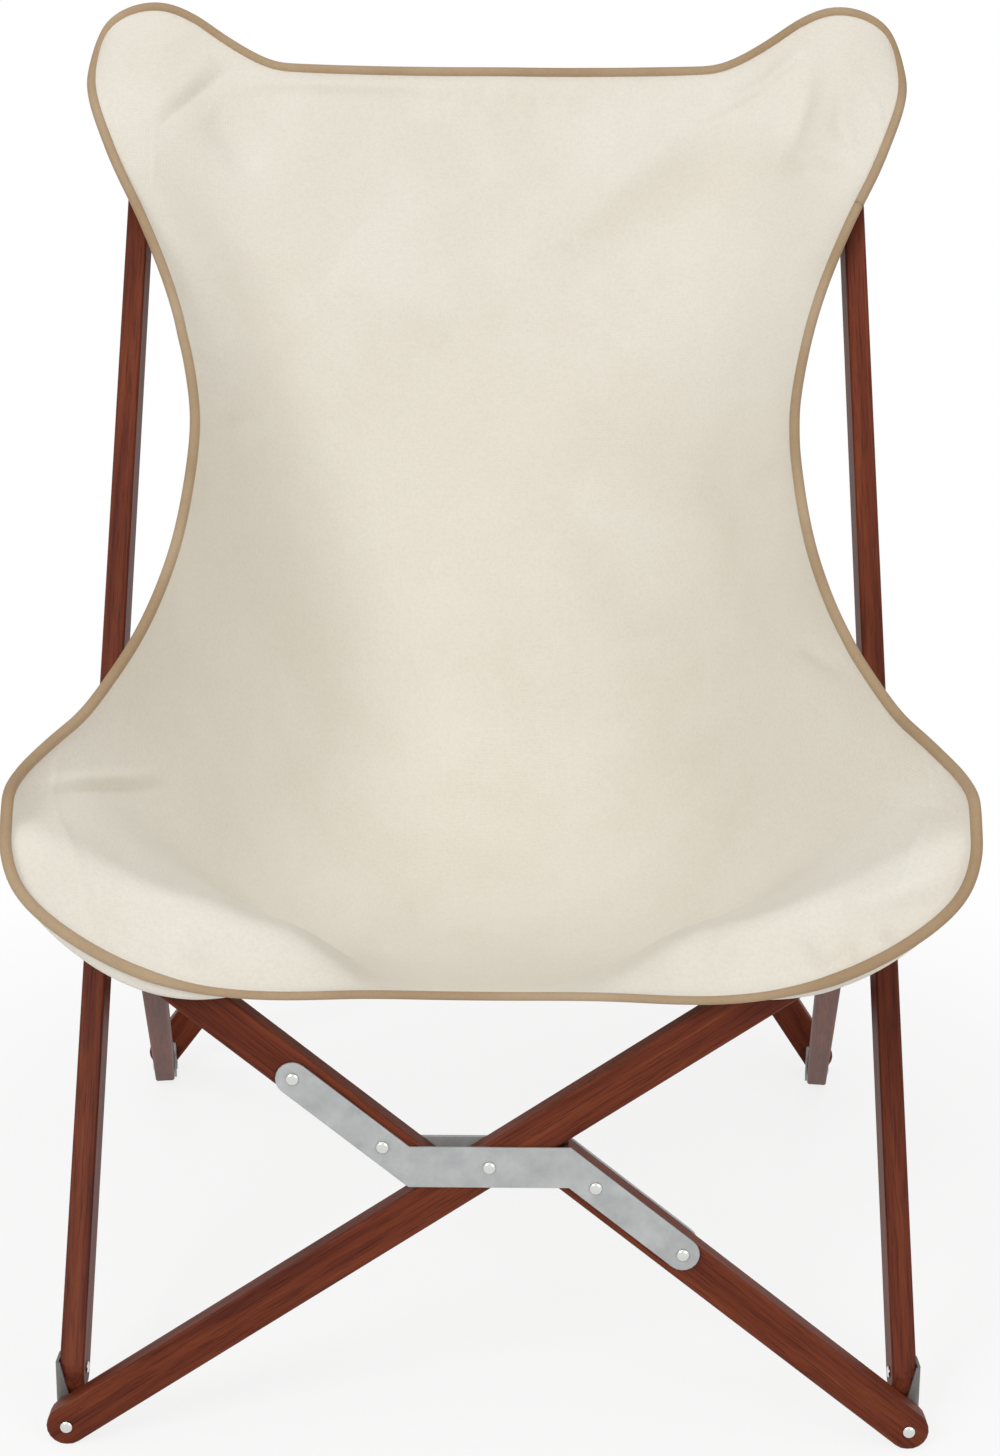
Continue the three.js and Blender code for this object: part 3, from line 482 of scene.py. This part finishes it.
def denser_outwards(step):
    """Places across, -1 to 1, drawn together towards the flanks."""
    return 0.5 * step + 0.5 * np.sin(step * math.pi / 2)


def denser_at_ends(step):
    """Places along, 0 to 1, drawn together towards the hems."""
    return 0.6 * step + 0.4 * (0.5 - 0.5 * np.cos(math.pi * step))


def make_canvas():
    """The canvas middle surface as a grid of points, front row first, left to right."""
    across = denser_outwards(np.linspace(-1, 1, CANVAS_ACROSS + 1))
    along = denser_at_ends(np.linspace(0, 1, CANVAS_ALONG + 1))
    across, along = np.meshgrid(across, along)
    grid = base_canvas(across, along)
    for _ in range(CLEARING_ROUNDS):
        grid = clear_of_frame(grid, LATH_ROOM, RUN_OUT_SLOPE, RUN_OUT_STEPS)
        for _ in range(RELAX_STEPS):
            relax(grid)
    pixels = project(grid)
    height = np.zeros(across.shape)
    for path, half_width, tall in FOLDS:
        height += FOLD_DEPTH * tall * path_bump(pixels, path, half_width)
    for path, half_width, tall in CREASES:
        height += tall * path_bump(pixels, path, half_width, power=1.0)
    top_line = project(grid[-1:])[0]
    for place, length, tall in GATHERS:
        hem = np.interp(place, top_line[:, 0], top_line[:, 1])
        below = (pixels[..., 1] - hem - GATHER_START) / length
        fade = np.where((below > 0) & (below < 1), np.sin(np.pi * np.clip(below, 0, 1)) ** 0.7, 0)
        ridge = np.exp(-((pixels[..., 0] - place) / GATHER_HALF_WIDTH) ** 2)
        height += GATHER_DEPTH * tall * fade * ridge
    # Pocket seams across the corners
    out = np.abs(across)
    ear = (1 - out) / POCKET_ACROSS + (1 - along) / POCKET_ALONG
    height += EAR_SEAM_HEIGHT * np.exp(-((ear - 1) / SEAM_WIDTH) ** 2)
    wing = (1 - out) / POCKET_ACROSS + along / POCKET_ALONG
    height += WING_SEAM_HEIGHT * np.exp(-((wing - 1) / SEAM_WIDTH) ** 2)
    rim = np.minimum(np.minimum(along, 1 - along) * HEM_RELIEF, (1 - out) * FLANK_RELIEF)
    height *= np.clip(rim, 0, 1)
    grid = grid + height[..., None] * surface_normals(grid)
    return clear_of_frame(grid, LATH_CLEARANCE)


def edge_loop(grid):
    """The rim of a grid once round: front edge to the right, right side up, top edge back, left side down."""
    return np.concatenate([grid[0, :-1], grid[:-1, -1], grid[-1, :0:-1], grid[:0:-1, 0]])


def outset_rim(grid, reach):
    """The grid with its rim moved outwards in the cloth's own plane, into the piping."""
    moved = grid.copy()
    ways = [
        ((0, slice(None)), grid[0] - grid[OUTSET_SPAN]),
        ((-1, slice(None)), grid[-1] - grid[-1 - OUTSET_SPAN]),
        ((slice(None), 0), grid[:, 0] - grid[:, OUTSET_SPAN]),
        ((slice(None), -1), grid[:, -1] - grid[:, -1 - OUTSET_SPAN]),
    ]
    for place, way in ways:
        step = way / np.linalg.norm(way, axis=-1, keepdims=True)
        moved[place] += step * reach
    return moved


def to_row(points):
    """Chair millimetres to the row frame in metres."""
    return (np.asarray(points) + np.array([0, DEPTH_SHIFT, 0])) / 1000


def add_mesh(name, points, faces, material):
    """A smooth-shaded object from points in chair millimetres."""
    mesh = bpy.data.meshes.new(name)
    mesh.from_pydata([tuple(p) for p in to_row(points)], [], [tuple(f) for f in faces])
    mesh.validate()
    mesh.polygons.foreach_set("use_smooth", [True] * len(mesh.polygons))
    mesh.update()
    obj = bpy.data.objects.new(name, mesh)
    bpy.context.scene.collection.objects.link(obj)
    obj.data.materials.append(material)
    return obj


def thick_sheet(grid, thickness):
    """Points and faces of a closed sheet of even thickness about a grid."""
    rows, lines = grid.shape[:2]
    normal = surface_normals(grid)
    upper = (grid + normal * thickness / 2).reshape(-1, 3)
    lower = (grid - normal * thickness / 2).reshape(-1, 3)
    points = np.concatenate([upper, lower])
    count = rows * lines
    index = np.arange(count).reshape(rows, lines)
    faces = []
    for i in range(rows - 1):
        for j in range(lines - 1):
            a, b, c, d = index[i, j], index[i, j + 1], index[i + 1, j + 1], index[i + 1, j]
            faces.append((a, b, c, d))
            faces.append((count + a, count + d, count + c, count + b))
    rim = edge_loop(index)
    for k in range(len(rim)):
        a, b = rim[k], rim[(k + 1) % len(rim)]
        faces.append((a, count + a, count + b, b))
    return points, faces


def tube(path, radii, sides):
    """Points and faces of a closed-ended tube along a path, with a radius for each of its points."""
    ways = np.gradient(path, axis=0)
    ways = ways / np.linalg.norm(ways, axis=1, keepdims=True)
    guide = unit(np.cross(ways[0], [0.3, 0.2, 1.0]))
    points = []
    for place, way, radius in zip(path, ways, radii):
        guide = unit(guide - way * np.dot(guide, way))
        other = np.cross(way, guide)
        for k in range(sides):
            turn = 2 * math.pi * k / sides
            points.append(place + radius * (math.cos(turn) * guide + math.sin(turn) * other))
    faces = []
    for i in range(len(path) - 1):
        for k in range(sides):
            a, b = i * sides + k, i * sides + (k + 1) % sides
            faces.append((a, b, b + sides, a + sides))
    faces.append(tuple(range(sides - 1, -1, -1)))
    last = (len(path) - 1) * sides
    faces.append(tuple(range(last, last + sides)))
    return np.array(points), faces


# Materials
def new_material(name):
    """A node material with its nodes, links and main shader."""
    material = bpy.data.materials.new(name)
    material.use_nodes = True
    nodes = material.node_tree.nodes
    return material, nodes, material.node_tree.links, nodes["Principled BSDF"]


def add_node(nodes, kind, **values):
    """A node with values set on its sockets, or on itself where it has no such socket."""
    node = nodes.new(kind)
    for key, value in values.items():
        if key in node.inputs:
            node.inputs[key].default_value = value
        else:
            setattr(node, key, value)
    return node


def colour(text):
    """Linear colour of a hex sRGB one."""
    parts = [int(text[i:i + 2], 16) / 255 for i in (0, 2, 4)]
    return tuple(c / 12.92 if c <= 0.04045 else ((c + 0.055) / 1.055) ** 2.4 for c in parts) + (1.0,)


def ramp(nodes, stops):
    """A colour ramp node with stops of position and colour."""
    node = nodes.new("ShaderNodeValToRGB")
    elements = node.color_ramp.elements
    elements[0].position, elements[0].color = stops[0]
    elements[1].position, elements[1].color = stops[-1]
    for position, value in stops[1:-1]:
        elements.new(position).color = value
    return node


def wood_material(name, direction, shift):
    """Red-brown stained hardwood with its grain along one lath."""
    material, nodes, links, shader = new_material(name)
    place = add_node(nodes, "ShaderNodeTexCoord")
    turn = Vector((1, 0, 0)).rotation_difference(Vector(direction)).inverted().to_euler()
    mapping = add_node(nodes, "ShaderNodeMapping")
    mapping.inputs["Rotation"].default_value = turn
    mapping.inputs["Location"].default_value = (shift, shift * 0.7, shift * 1.3)
    links.new(place.outputs["Object"], mapping.inputs["Vector"])
    stretch = add_node(nodes, "ShaderNodeMapping")
    stretch.inputs["Scale"].default_value = (5, 120, 120)
    links.new(mapping.outputs["Vector"], stretch.inputs["Vector"])
    grain = add_node(nodes, "ShaderNodeTexNoise", Scale=1.0, Detail=7.0, Roughness=0.62, Distortion=0.4)
    links.new(stretch.outputs["Vector"], grain.inputs["Vector"])
    fine = add_node(nodes, "ShaderNodeMapping")
    fine.inputs["Scale"].default_value = (30, 900, 900)
    links.new(mapping.outputs["Vector"], fine.inputs["Vector"])
    pores = add_node(nodes, "ShaderNodeTexNoise", Scale=1.0, Detail=3.0, Roughness=0.6)
    links.new(fine.outputs["Vector"], pores.inputs["Vector"])
    tone = ramp(nodes, [
        (0.28, colour("4B1C10")), (0.45, colour("632A17")),
        (0.58, colour("71341D")), (0.76, colour("804226")),
    ])
    links.new(grain.outputs["Fac"], tone.inputs["Fac"])
    dark = ramp(nodes, [(0.36, (0.45, 0.38, 0.36, 1)), (0.5, (1, 1, 1, 1))])
    links.new(pores.outputs["Fac"], dark.inputs["Fac"])
    mix = add_node(nodes, "ShaderNodeMix", data_type="RGBA", blend_type="MULTIPLY")
    mix.inputs["Factor"].default_value = 0.75
    links.new(tone.outputs["Color"], mix.inputs["A"])
    links.new(dark.outputs["Color"], mix.inputs["B"])
    links.new(mix.outputs["Result"], shader.inputs["Base Color"])
    shader.inputs["Roughness"].default_value = 0.5
    shader.inputs["Specular IOR Level"].default_value = 0.16
    edge = add_node(nodes, "ShaderNodeBevel", Radius=0.0011, samples=6)
    bump = add_node(nodes, "ShaderNodeBump", Strength=0.18, Distance=0.0004)
    links.new(pores.outputs["Fac"], bump.inputs["Height"])
    links.new(edge.outputs["Normal"], bump.inputs["Normal"])
    links.new(bump.outputs["Normal"], shader.inputs["Normal"])
    return material


def zinc_material(name, light, deep):
    """Galvanised strip with faint cloudy spangle."""
    material, nodes, links, shader = new_material(name)
    place = add_node(nodes, "ShaderNodeTexCoord")
    cloud = add_node(nodes, "ShaderNodeTexNoise", Scale=55.0, Detail=5.0, Roughness=0.6)
    links.new(place.outputs["Object"], cloud.inputs["Vector"])
    tone = ramp(nodes, [(0.3, colour(deep)), (0.7, colour(light))])
    links.new(cloud.outputs["Fac"], tone.inputs["Fac"])
    links.new(tone.outputs["Color"], shader.inputs["Base Color"])
    rough = add_node(nodes, "ShaderNodeMapRange")
    rough.inputs["To Min"].default_value = 0.38
    rough.inputs["To Max"].default_value = 0.55
    links.new(cloud.outputs["Fac"], rough.inputs["Value"])
    links.new(rough.outputs["Result"], shader.inputs["Roughness"])
    shader.inputs["Metallic"].default_value = 0.4
    edge = add_node(nodes, "ShaderNodeBevel", Radius=0.0005, samples=4)
    links.new(edge.outputs["Normal"], shader.inputs["Normal"])
    return material


def rivet_material():
    """Bright polished metal."""
    material, nodes, links, shader = new_material("polished_rivet")
    shader.inputs["Base Color"].default_value = colour("D8D8D4")
    shader.inputs["Metallic"].default_value = 1.0
    shader.inputs["Roughness"].default_value = 0.2
    return material


def cloth_material(name, light, deep, weave, strength):
    """Plain woven cotton: two crossing sets of threads and a soft unevenness of tone."""
    material, nodes, links, shader = new_material(name)
    place = add_node(nodes, "ShaderNodeTexCoord")
    cloud = add_node(nodes, "ShaderNodeTexNoise", Scale=9.0, Detail=4.0, Roughness=0.55)
    links.new(place.outputs["Object"], cloud.inputs["Vector"])
    slub = add_node(nodes, "ShaderNodeTexNoise", Scale=420.0, Detail=2.0, Roughness=0.5)
    links.new(place.outputs["Object"], slub.inputs["Vector"])
    tone = ramp(nodes, [(0.35, colour(deep)), (0.65, colour(light))])
    links.new(cloud.outputs["Fac"], tone.inputs["Fac"])
    fleck = ramp(nodes, [(0.3, (0.93, 0.92, 0.9, 1)), (0.6, (1, 1, 1, 1))])
    links.new(slub.outputs["Fac"], fleck.inputs["Fac"])
    mix = add_node(nodes, "ShaderNodeMix", data_type="RGBA", blend_type="MULTIPLY")
    mix.inputs["Factor"].default_value = 0.6
    links.new(tone.outputs["Color"], mix.inputs["A"])
    links.new(fleck.outputs["Color"], mix.inputs["B"])
    links.new(mix.outputs["Result"], shader.inputs["Base Color"])
    shader.inputs["Roughness"].default_value = 0.92
    shader.inputs["Specular IOR Level"].default_value = 0.15
    shader.inputs["Sheen Weight"].default_value = 0.12
    warp = add_node(nodes, "ShaderNodeTexWave", Scale=weave, bands_direction="X")
    weft = add_node(nodes, "ShaderNodeTexWave", Scale=weave, bands_direction="Z")
    links.new(place.outputs["Object"], warp.inputs["Vector"])
    links.new(place.outputs["Object"], weft.inputs["Vector"])
    cross = add_node(nodes, "ShaderNodeMath", operation="MULTIPLY")
    links.new(warp.outputs["Fac"], cross.inputs[0])
    links.new(weft.outputs["Fac"], cross.inputs[1])
    bump = add_node(nodes, "ShaderNodeBump", Strength=strength, Distance=0.0003)
    links.new(cross.outputs["Value"], bump.inputs["Height"])
    links.new(bump.outputs["Normal"], shader.inputs["Normal"])
    return material


zinc = zinc_material("galvanised_strip", "BDC0BF", "A4A7A7")
# Darker zinc for the front foot brackets is painted shade: its grey stands in for the shade the brackets sit
# in
shade_painted_zinc = zinc_material("shade_painted_strip", "7C7A78", "686664")
polished = rivet_material()
canvas_cloth = cloth_material("cream_canvas", "E8E3D8", "E4DED1", 150, 0.25)
piping_cloth = cloth_material("tan_piping", "B8A083", "A78D6E", 150, 0.3)


def long_axis(obj):
    """A piece's points in the row frame and the direction in which they reach furthest."""
    points = np.array([obj.matrix_world @ v.co for v in obj.data.vertices])
    _, _, ways = np.linalg.svd(points - points.mean(axis=0), full_matrices=False)
    return points, ways[0]


# Laths and strips get their finish, with painted shade on the front foot brackets; the posts' copies below
# take it over
soft_nodes = [
    "sling", "sling_piping", "wing_pocket_left", "wing_pocket_right", "ear_pocket_left", "ear_pocket_right",
]
rivet_nodes = [name for name in frame["nodes"] if "rivet" in name]
for count, (name, node) in enumerate(sorted(frame["nodes"].items())):
    if name in soft_nodes or name in rivet_nodes:
        continue
    # Front foot brackets get the darker zinc as painted shade
    if "front_foot_bracket" in name:
        finish = shade_painted_zinc
    elif "plate" in name or "bracket" in name:
        finish = zinc
    else:
        _, direction = long_axis(node)
        finish = wood_material("stained_wood_" + name, direction, GRAIN_SHIFT * count)
    node.data.materials.clear()
    node.data.materials.append(finish)


# Posts with their feet cut on a slant, so that they reach down behind the front laths
def slanted_post(name, side):
    """A copy of a post with its lowest corners slid along it, most at the back."""
    mesh = frame["nodes"][name].data.copy()
    base = post_base(side)
    points = np.array([v.co for v in mesh.vertices]) * 1000 - np.array([0, DEPTH_SHIFT, 0]) - base
    run = points @ post_along
    ahead = points @ post_front
    foot = run < run.min() + FOOT_CORNER
    slide = foot * FOOT_SLANT * (0.5 - ahead / BAR_WIDTH)
    moved = points + base - slide[:, None] * post_along
    for vertex, place in zip(mesh.vertices, to_row(moved)):
        vertex.co = place
    obj = bpy.data.objects.new(name + "_slanted_foot", mesh)
    bpy.context.scene.collection.objects.link(obj)
    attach(obj, name)
    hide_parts(name)


for word, side in (("left", -1), ("right", 1)):
    slanted_post("post_" + word, side)


# Rivets: round shank, tail and domed head on the frame rivet's own line
def rivet_profile(points, middle, axis):
    """Places of a rivet's points along its axis and their distances from it."""
    run = (points - middle) @ axis
    reach = np.linalg.norm((points - middle) - run[:, None] * axis, axis=1)
    return run, reach


def round_rivet(name, node):
    """A turned rivet in place of a faceted one, with its head at the same end."""
    points, axis = long_axis(node)
    middle = points.mean(axis=0)
    run, reach = rivet_profile(points, middle, axis)
    if reach[run > run.max() - RIVET_END].max() < reach[run < run.min() + RIVET_END].max():
        axis = -axis
        run, reach = rivet_profile(points, middle, axis)
    head = reach.max()
    shank_end = run[reach > head * RIVET_HEAD_SHARE].min()
    tall = run.max() - shank_end
    lower = run.min()
    body = min(head * RIVET_SHANK_SHARE, RIVET_SHANK)
    tail = max(reach[run < lower + RIVET_TAIL_END].max(), body)
    line = [(0, lower), (tail * TAIL_FLAT, lower), (tail, lower + TAIL_CORNER)]
    if tail >= body * RIVET_STUB:
        line += [(tail, lower + TAIL_TOP), (body, lower + TAIL_NECK)]
    line += [(body, shank_end)]
    line += [(head, shank_end), (head, shank_end + tall * HEAD_RIM)]
    for part in np.linspace(0.1, 1, RIVET_DOME_STEPS):
        angle = part * math.pi / 2
        dome = HEAD_RIM + (1 - HEAD_RIM) * math.sin(angle)
        line.append((head * math.cos(angle), shank_end + tall * dome))
    sides = RIVET_SIDES
    side_way = unit(np.cross(axis, [0.31, 0.87, 0.22]))
    other = np.cross(axis, side_way)
    corners = []
    for radius, height in line[1:-1]:
        for k in range(sides):
            turn = 2 * math.pi * k / sides
            outward = math.cos(turn) * side_way + math.sin(turn) * other
            corners.append(middle + axis * height + radius * outward)
    faces = []
    rings = len(line) - 2
    for i in range(rings - 1):
        for k in range(sides):
            a, b = i * sides + k, i * sides + (k + 1) % sides
            faces.append((a, b, b + sides, a + sides))
    corners.append(middle + axis * line[0][1])
    corners.append(middle + axis * line[-1][1])
    for k in range(sides):
        faces.append((rings * sides, (k + 1) % sides, k))
        low = (rings - 1) * sides
        faces.append((rings * sides + 1, low + k, low + (k + 1) % sides))
    corners = np.array(corners) * 1000 - np.array([0, DEPTH_SHIFT, 0])
    obj = add_mesh(name + "_round", corners, faces, polished)
    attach(obj, body_of(node)[0])
    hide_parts(name)


for name in rivet_nodes:
    round_rivet(name, frame["nodes"][name])

# Canvas sling, its piping and its corner pockets
grid = make_canvas()
outset = outset_rim(grid, PIPING_OUTSET)
sheet_points, sheet_faces = thick_sheet(outset, CANVAS_THICKNESS)
sling = add_mesh("canvas_sling", sheet_points, sheet_faces, canvas_cloth)

rim = edge_loop(outset)
rim_lengths = np.concatenate([[0], np.cumsum(np.linalg.norm(np.roll(rim, -1, axis=0) - rim, axis=1))])
rim_total = rim_lengths[-1]
closed = np.concatenate([rim, rim[:1]])
start = rim_lengths[CANVAS_ACROSS + int(PIPING_END_PLACE * CANVAS_ALONG)] + PIPING_END_GAP
count = int(rim_total / PIPING_STEP)
places = (start + np.linspace(0, rim_total - 2 * PIPING_END_GAP, count)) % rim_total
path = np.stack([np.interp(places, rim_lengths, closed[:, k]) for k in range(3)], axis=-1)
for _ in range(PIPING_PASSES):
    path[1:-1] += 0.5 * ((path[:-2] + path[2:]) / 2 - path[1:-1])
at_front = np.clip((FRONT_HEM_TOP - path[:, 2]) / FRONT_HEM_FADE, 0, 1) * (path[:, 1] < FRONT_HEM_BACK)
radii = PIPING_RADIUS + (FRONT_PIPING_RADIUS - PIPING_RADIUS) * at_front
piping_points, piping_faces = tube(path, radii, PIPING_SIDES)
piping = add_mesh("tan_edge_piping", piping_points, piping_faces, piping_cloth)


def pocket_grid(side, at_top):
    """The pocket's outer skin behind one corner: sewn along the hem and the flank, open inwards."""
    form = EAR_POCKET if at_top else WING_POCKET
    backward = -post_front if at_top else -front_ahead
    bulge = unit(form["bulge"])
    part = np.linspace(0, 1, POCKET_LINES + 1)
    edge_row = grid[-1] if at_top else grid[0]
    flank_line = grid[:, -1] if side > 0 else grid[:, 0]
    half = edge_row[CANVAS_ACROSS // 2:] if side > 0 else edge_row[CANVAS_ACROSS // 2::-1]
    across = denser_outwards(np.linspace(0, 1, len(half)))
    along = denser_at_ends(np.linspace(0, 1, CANVAS_ALONG + 1))
    result = []
    for share in np.linspace(POCKET_START, 1, POCKET_ROWS + 1):
        hem_at = 1 - share * POCKET_ACROSS
        hem = np.array([np.interp(hem_at, across, half[:, k]) for k in range(3)])
        flank_at = 1 - share * POCKET_ALONG if at_top else share * POCKET_ALONG
        flank = np.array([np.interp(flank_at, along, flank_line[:, k]) for k in range(3)])
        hem = hem + backward * form["seam"]
        flank = flank + bulge * form["seam"]
        fill = form["depth"] * min(1.0, (share * form["fill"]) ** form["power"])
        row = hem + part[:, None] * (flank - hem)
        row = row + (fill * np.sin(np.pi * part) ** POCKET_ROUNDNESS)[:, None] * bulge
        result.append(row)
    result = np.array(result)
    if (side < 0) == at_top:
        result = result[:, ::-1]
    for _ in range(POCKET_RELAX_STEPS):
        relax(result)
    return result


def pocket_lip(side):
    """The fold of a wing pocket that hangs from the front hem and shows under it."""
    hem = outset[0]
    out = hem[:, 0] * side
    line = hem[(out > LIP_INNER) & (out < LIP_OUTER)]
    share = (np.abs(line[:, 0]) - LIP_INNER) / (LIP_OUTER - LIP_INNER)
    drop = LIP_DROPS[side] * np.sin(np.pi * share) ** LIP_ROUNDNESS
    rows = [line + np.outer(drop, [0, 0, -down]) + np.array([0, back, 0]) for down, back in LIP_SECTION]
    return np.array(rows)


pockets = []
for word, side in (("left", -1), ("right", 1)):
    for kind, at_top in (("wing_pocket_", False), ("ear_pocket_", True)):
        pocket_points, pocket_faces = thick_sheet(pocket_grid(side, at_top), CANVAS_THICKNESS)
        if not at_top:
            lip_points, lip_faces = thick_sheet(pocket_lip(side), CANVAS_THICKNESS)
            lip_faces = [tuple(len(pocket_points) + k for k in face) for face in lip_faces]
            pocket_points = np.concatenate([pocket_points, lip_points])
            pocket_faces = pocket_faces + lip_faces
        pocket = add_mesh("sewn_" + kind + word, pocket_points, pocket_faces, canvas_cloth)
        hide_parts(kind + word)
        pockets.append(pocket)

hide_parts("sling")
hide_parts("sling_piping")
for piece in [sling, piping] + pockets:
    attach(piece, "post_left")
    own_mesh(piece)


# Stage: pale floor that runs into a white backdrop, and soft studio light
def seen_rays(nodes, links):
    """1 for the rays that show the background itself: from the camera, off metal or through glass."""
    rays = add_node(nodes, "ShaderNodeLightPath")
    glossy = add_node(nodes, "ShaderNodeMath", operation="MAXIMUM")
    links.new(rays.outputs["Is Camera Ray"], glossy.inputs[0])
    links.new(rays.outputs["Is Glossy Ray"], glossy.inputs[1])
    through = add_node(nodes, "ShaderNodeMath", operation="MAXIMUM")
    links.new(glossy.outputs["Value"], through.inputs[0])
    links.new(rays.outputs["Is Transmission Ray"], through.inputs[1])
    return through.outputs["Value"]


def floor_material():
    """Pale floor under the chair that runs out into plain white."""
    material, nodes, links, shader = new_material("studio_white")
    shader.inputs["Base Color"].default_value = (0.9, 0.9, 0.9, 1)
    shader.inputs["Roughness"].default_value = 0.95
    shader.inputs["Specular IOR Level"].default_value = 0.05
    place = add_node(nodes, "ShaderNodeTexCoord")
    away = add_node(nodes, "ShaderNodeVectorMath", operation="LENGTH")
    links.new(place.outputs["Object"], away.inputs[0])
    fade = add_node(nodes, "ShaderNodeMapRange", interpolation_type="SMOOTHSTEP")
    fade.inputs["From Min"].default_value = 0.35
    fade.inputs["From Max"].default_value = 1.0
    fade.inputs["To Min"].default_value = 0.82
    links.new(away.outputs["Value"], fade.inputs["Value"])
    share = add_node(nodes, "ShaderNodeMath", operation="MULTIPLY")
    links.new(seen_rays(nodes, links), share.inputs[0])
    links.new(fade.outputs["Result"], share.inputs[1])
    glow = add_node(nodes, "ShaderNodeEmission", Strength=1.0)
    glow.inputs["Color"].default_value = (1, 1, 1, 1)
    mix = add_node(nodes, "ShaderNodeMixShader")
    links.new(share.outputs["Value"], mix.inputs["Fac"])
    links.new(shader.outputs["BSDF"], mix.inputs[1])
    links.new(glow.outputs["Emission"], mix.inputs[2])
    links.new(mix.outputs["Shader"], nodes["Material Output"].inputs["Surface"])
    return material


def add_floor():
    """The floor, just under the feet."""
    bpy.ops.mesh.primitive_plane_add(size=FLOOR_SIZE, location=(0, 0, -FLOOR_DROP))
    floor = bpy.context.object
    floor.name = "studio_floor"
    floor.data.materials.append(floor_material())


def add_area(name, place, target, size, power):
    """A round soft lamp turned to a target."""
    data = bpy.data.lights.new(name, "AREA")
    data.shape = "DISK"
    data.size = size
    data.energy = power
    lamp = bpy.data.objects.new(name, data)
    bpy.context.scene.collection.objects.link(lamp)
    lamp.location = place
    lamp.rotation_euler = (Vector(target) - Vector(place)).to_track_quat("-Z", "Y").to_euler()


def set_world():
    """Even white light all round, shown as plain white."""
    world = bpy.data.worlds.new("studio")
    bpy.context.scene.world = world
    world.use_nodes = True
    nodes = world.node_tree.nodes
    links = world.node_tree.links
    nodes.clear()
    output = nodes.new("ShaderNodeOutputWorld")
    soft = nodes.new("ShaderNodeBackground")
    soft.inputs["Color"].default_value = (1, 1, 1, 1)
    soft.inputs["Strength"].default_value = WORLD_LIGHT
    seen = nodes.new("ShaderNodeBackground")
    seen.inputs["Color"].default_value = (1, 1, 1, 1)
    seen.inputs["Strength"].default_value = 1.0
    mix = nodes.new("ShaderNodeMixShader")
    links.new(seen_rays(nodes, links), mix.inputs["Fac"])
    links.new(soft.outputs["Background"], mix.inputs[1])
    links.new(seen.outputs["Background"], mix.inputs[2])
    links.new(mix.outputs["Shader"], output.inputs["Surface"])


add_floor()
set_world()
add_area("key_light", (-1.7, -2.6, 2.4), (0, 0, 0.5), 1.4, 45)
add_area("fill_light", (1.9, -2.5, 1.5), (0, 0, 0.5), 1.8, 23)
add_area("top_light", (0, -0.2, 3.0), (0, 0.0, 0.4), 2.0, 12)

camera_data = bpy.data.cameras.new("photo_camera")
camera_data.sensor_width = SENSOR_WIDTH
camera_data.sensor_fit = "AUTO"
camera_data.lens = FOCAL_PIXELS * SENSOR_WIDTH / PHOTO_HEIGHT
camera = bpy.data.objects.new("photo_camera", camera_data)
bpy.context.scene.collection.objects.link(camera)
camera.location = to_row(CAMERA_PLACE)
aim = Matrix.Rotation(-CAMERA_YAW, 4, "Z") @ Matrix.Rotation(math.pi / 2 - CAMERA_PITCH, 4, "X")
aim = aim @ Matrix.Rotation(CAMERA_ROLL, 4, "Z")
camera.rotation_euler = aim.to_euler()
bpy.context.scene.camera = camera
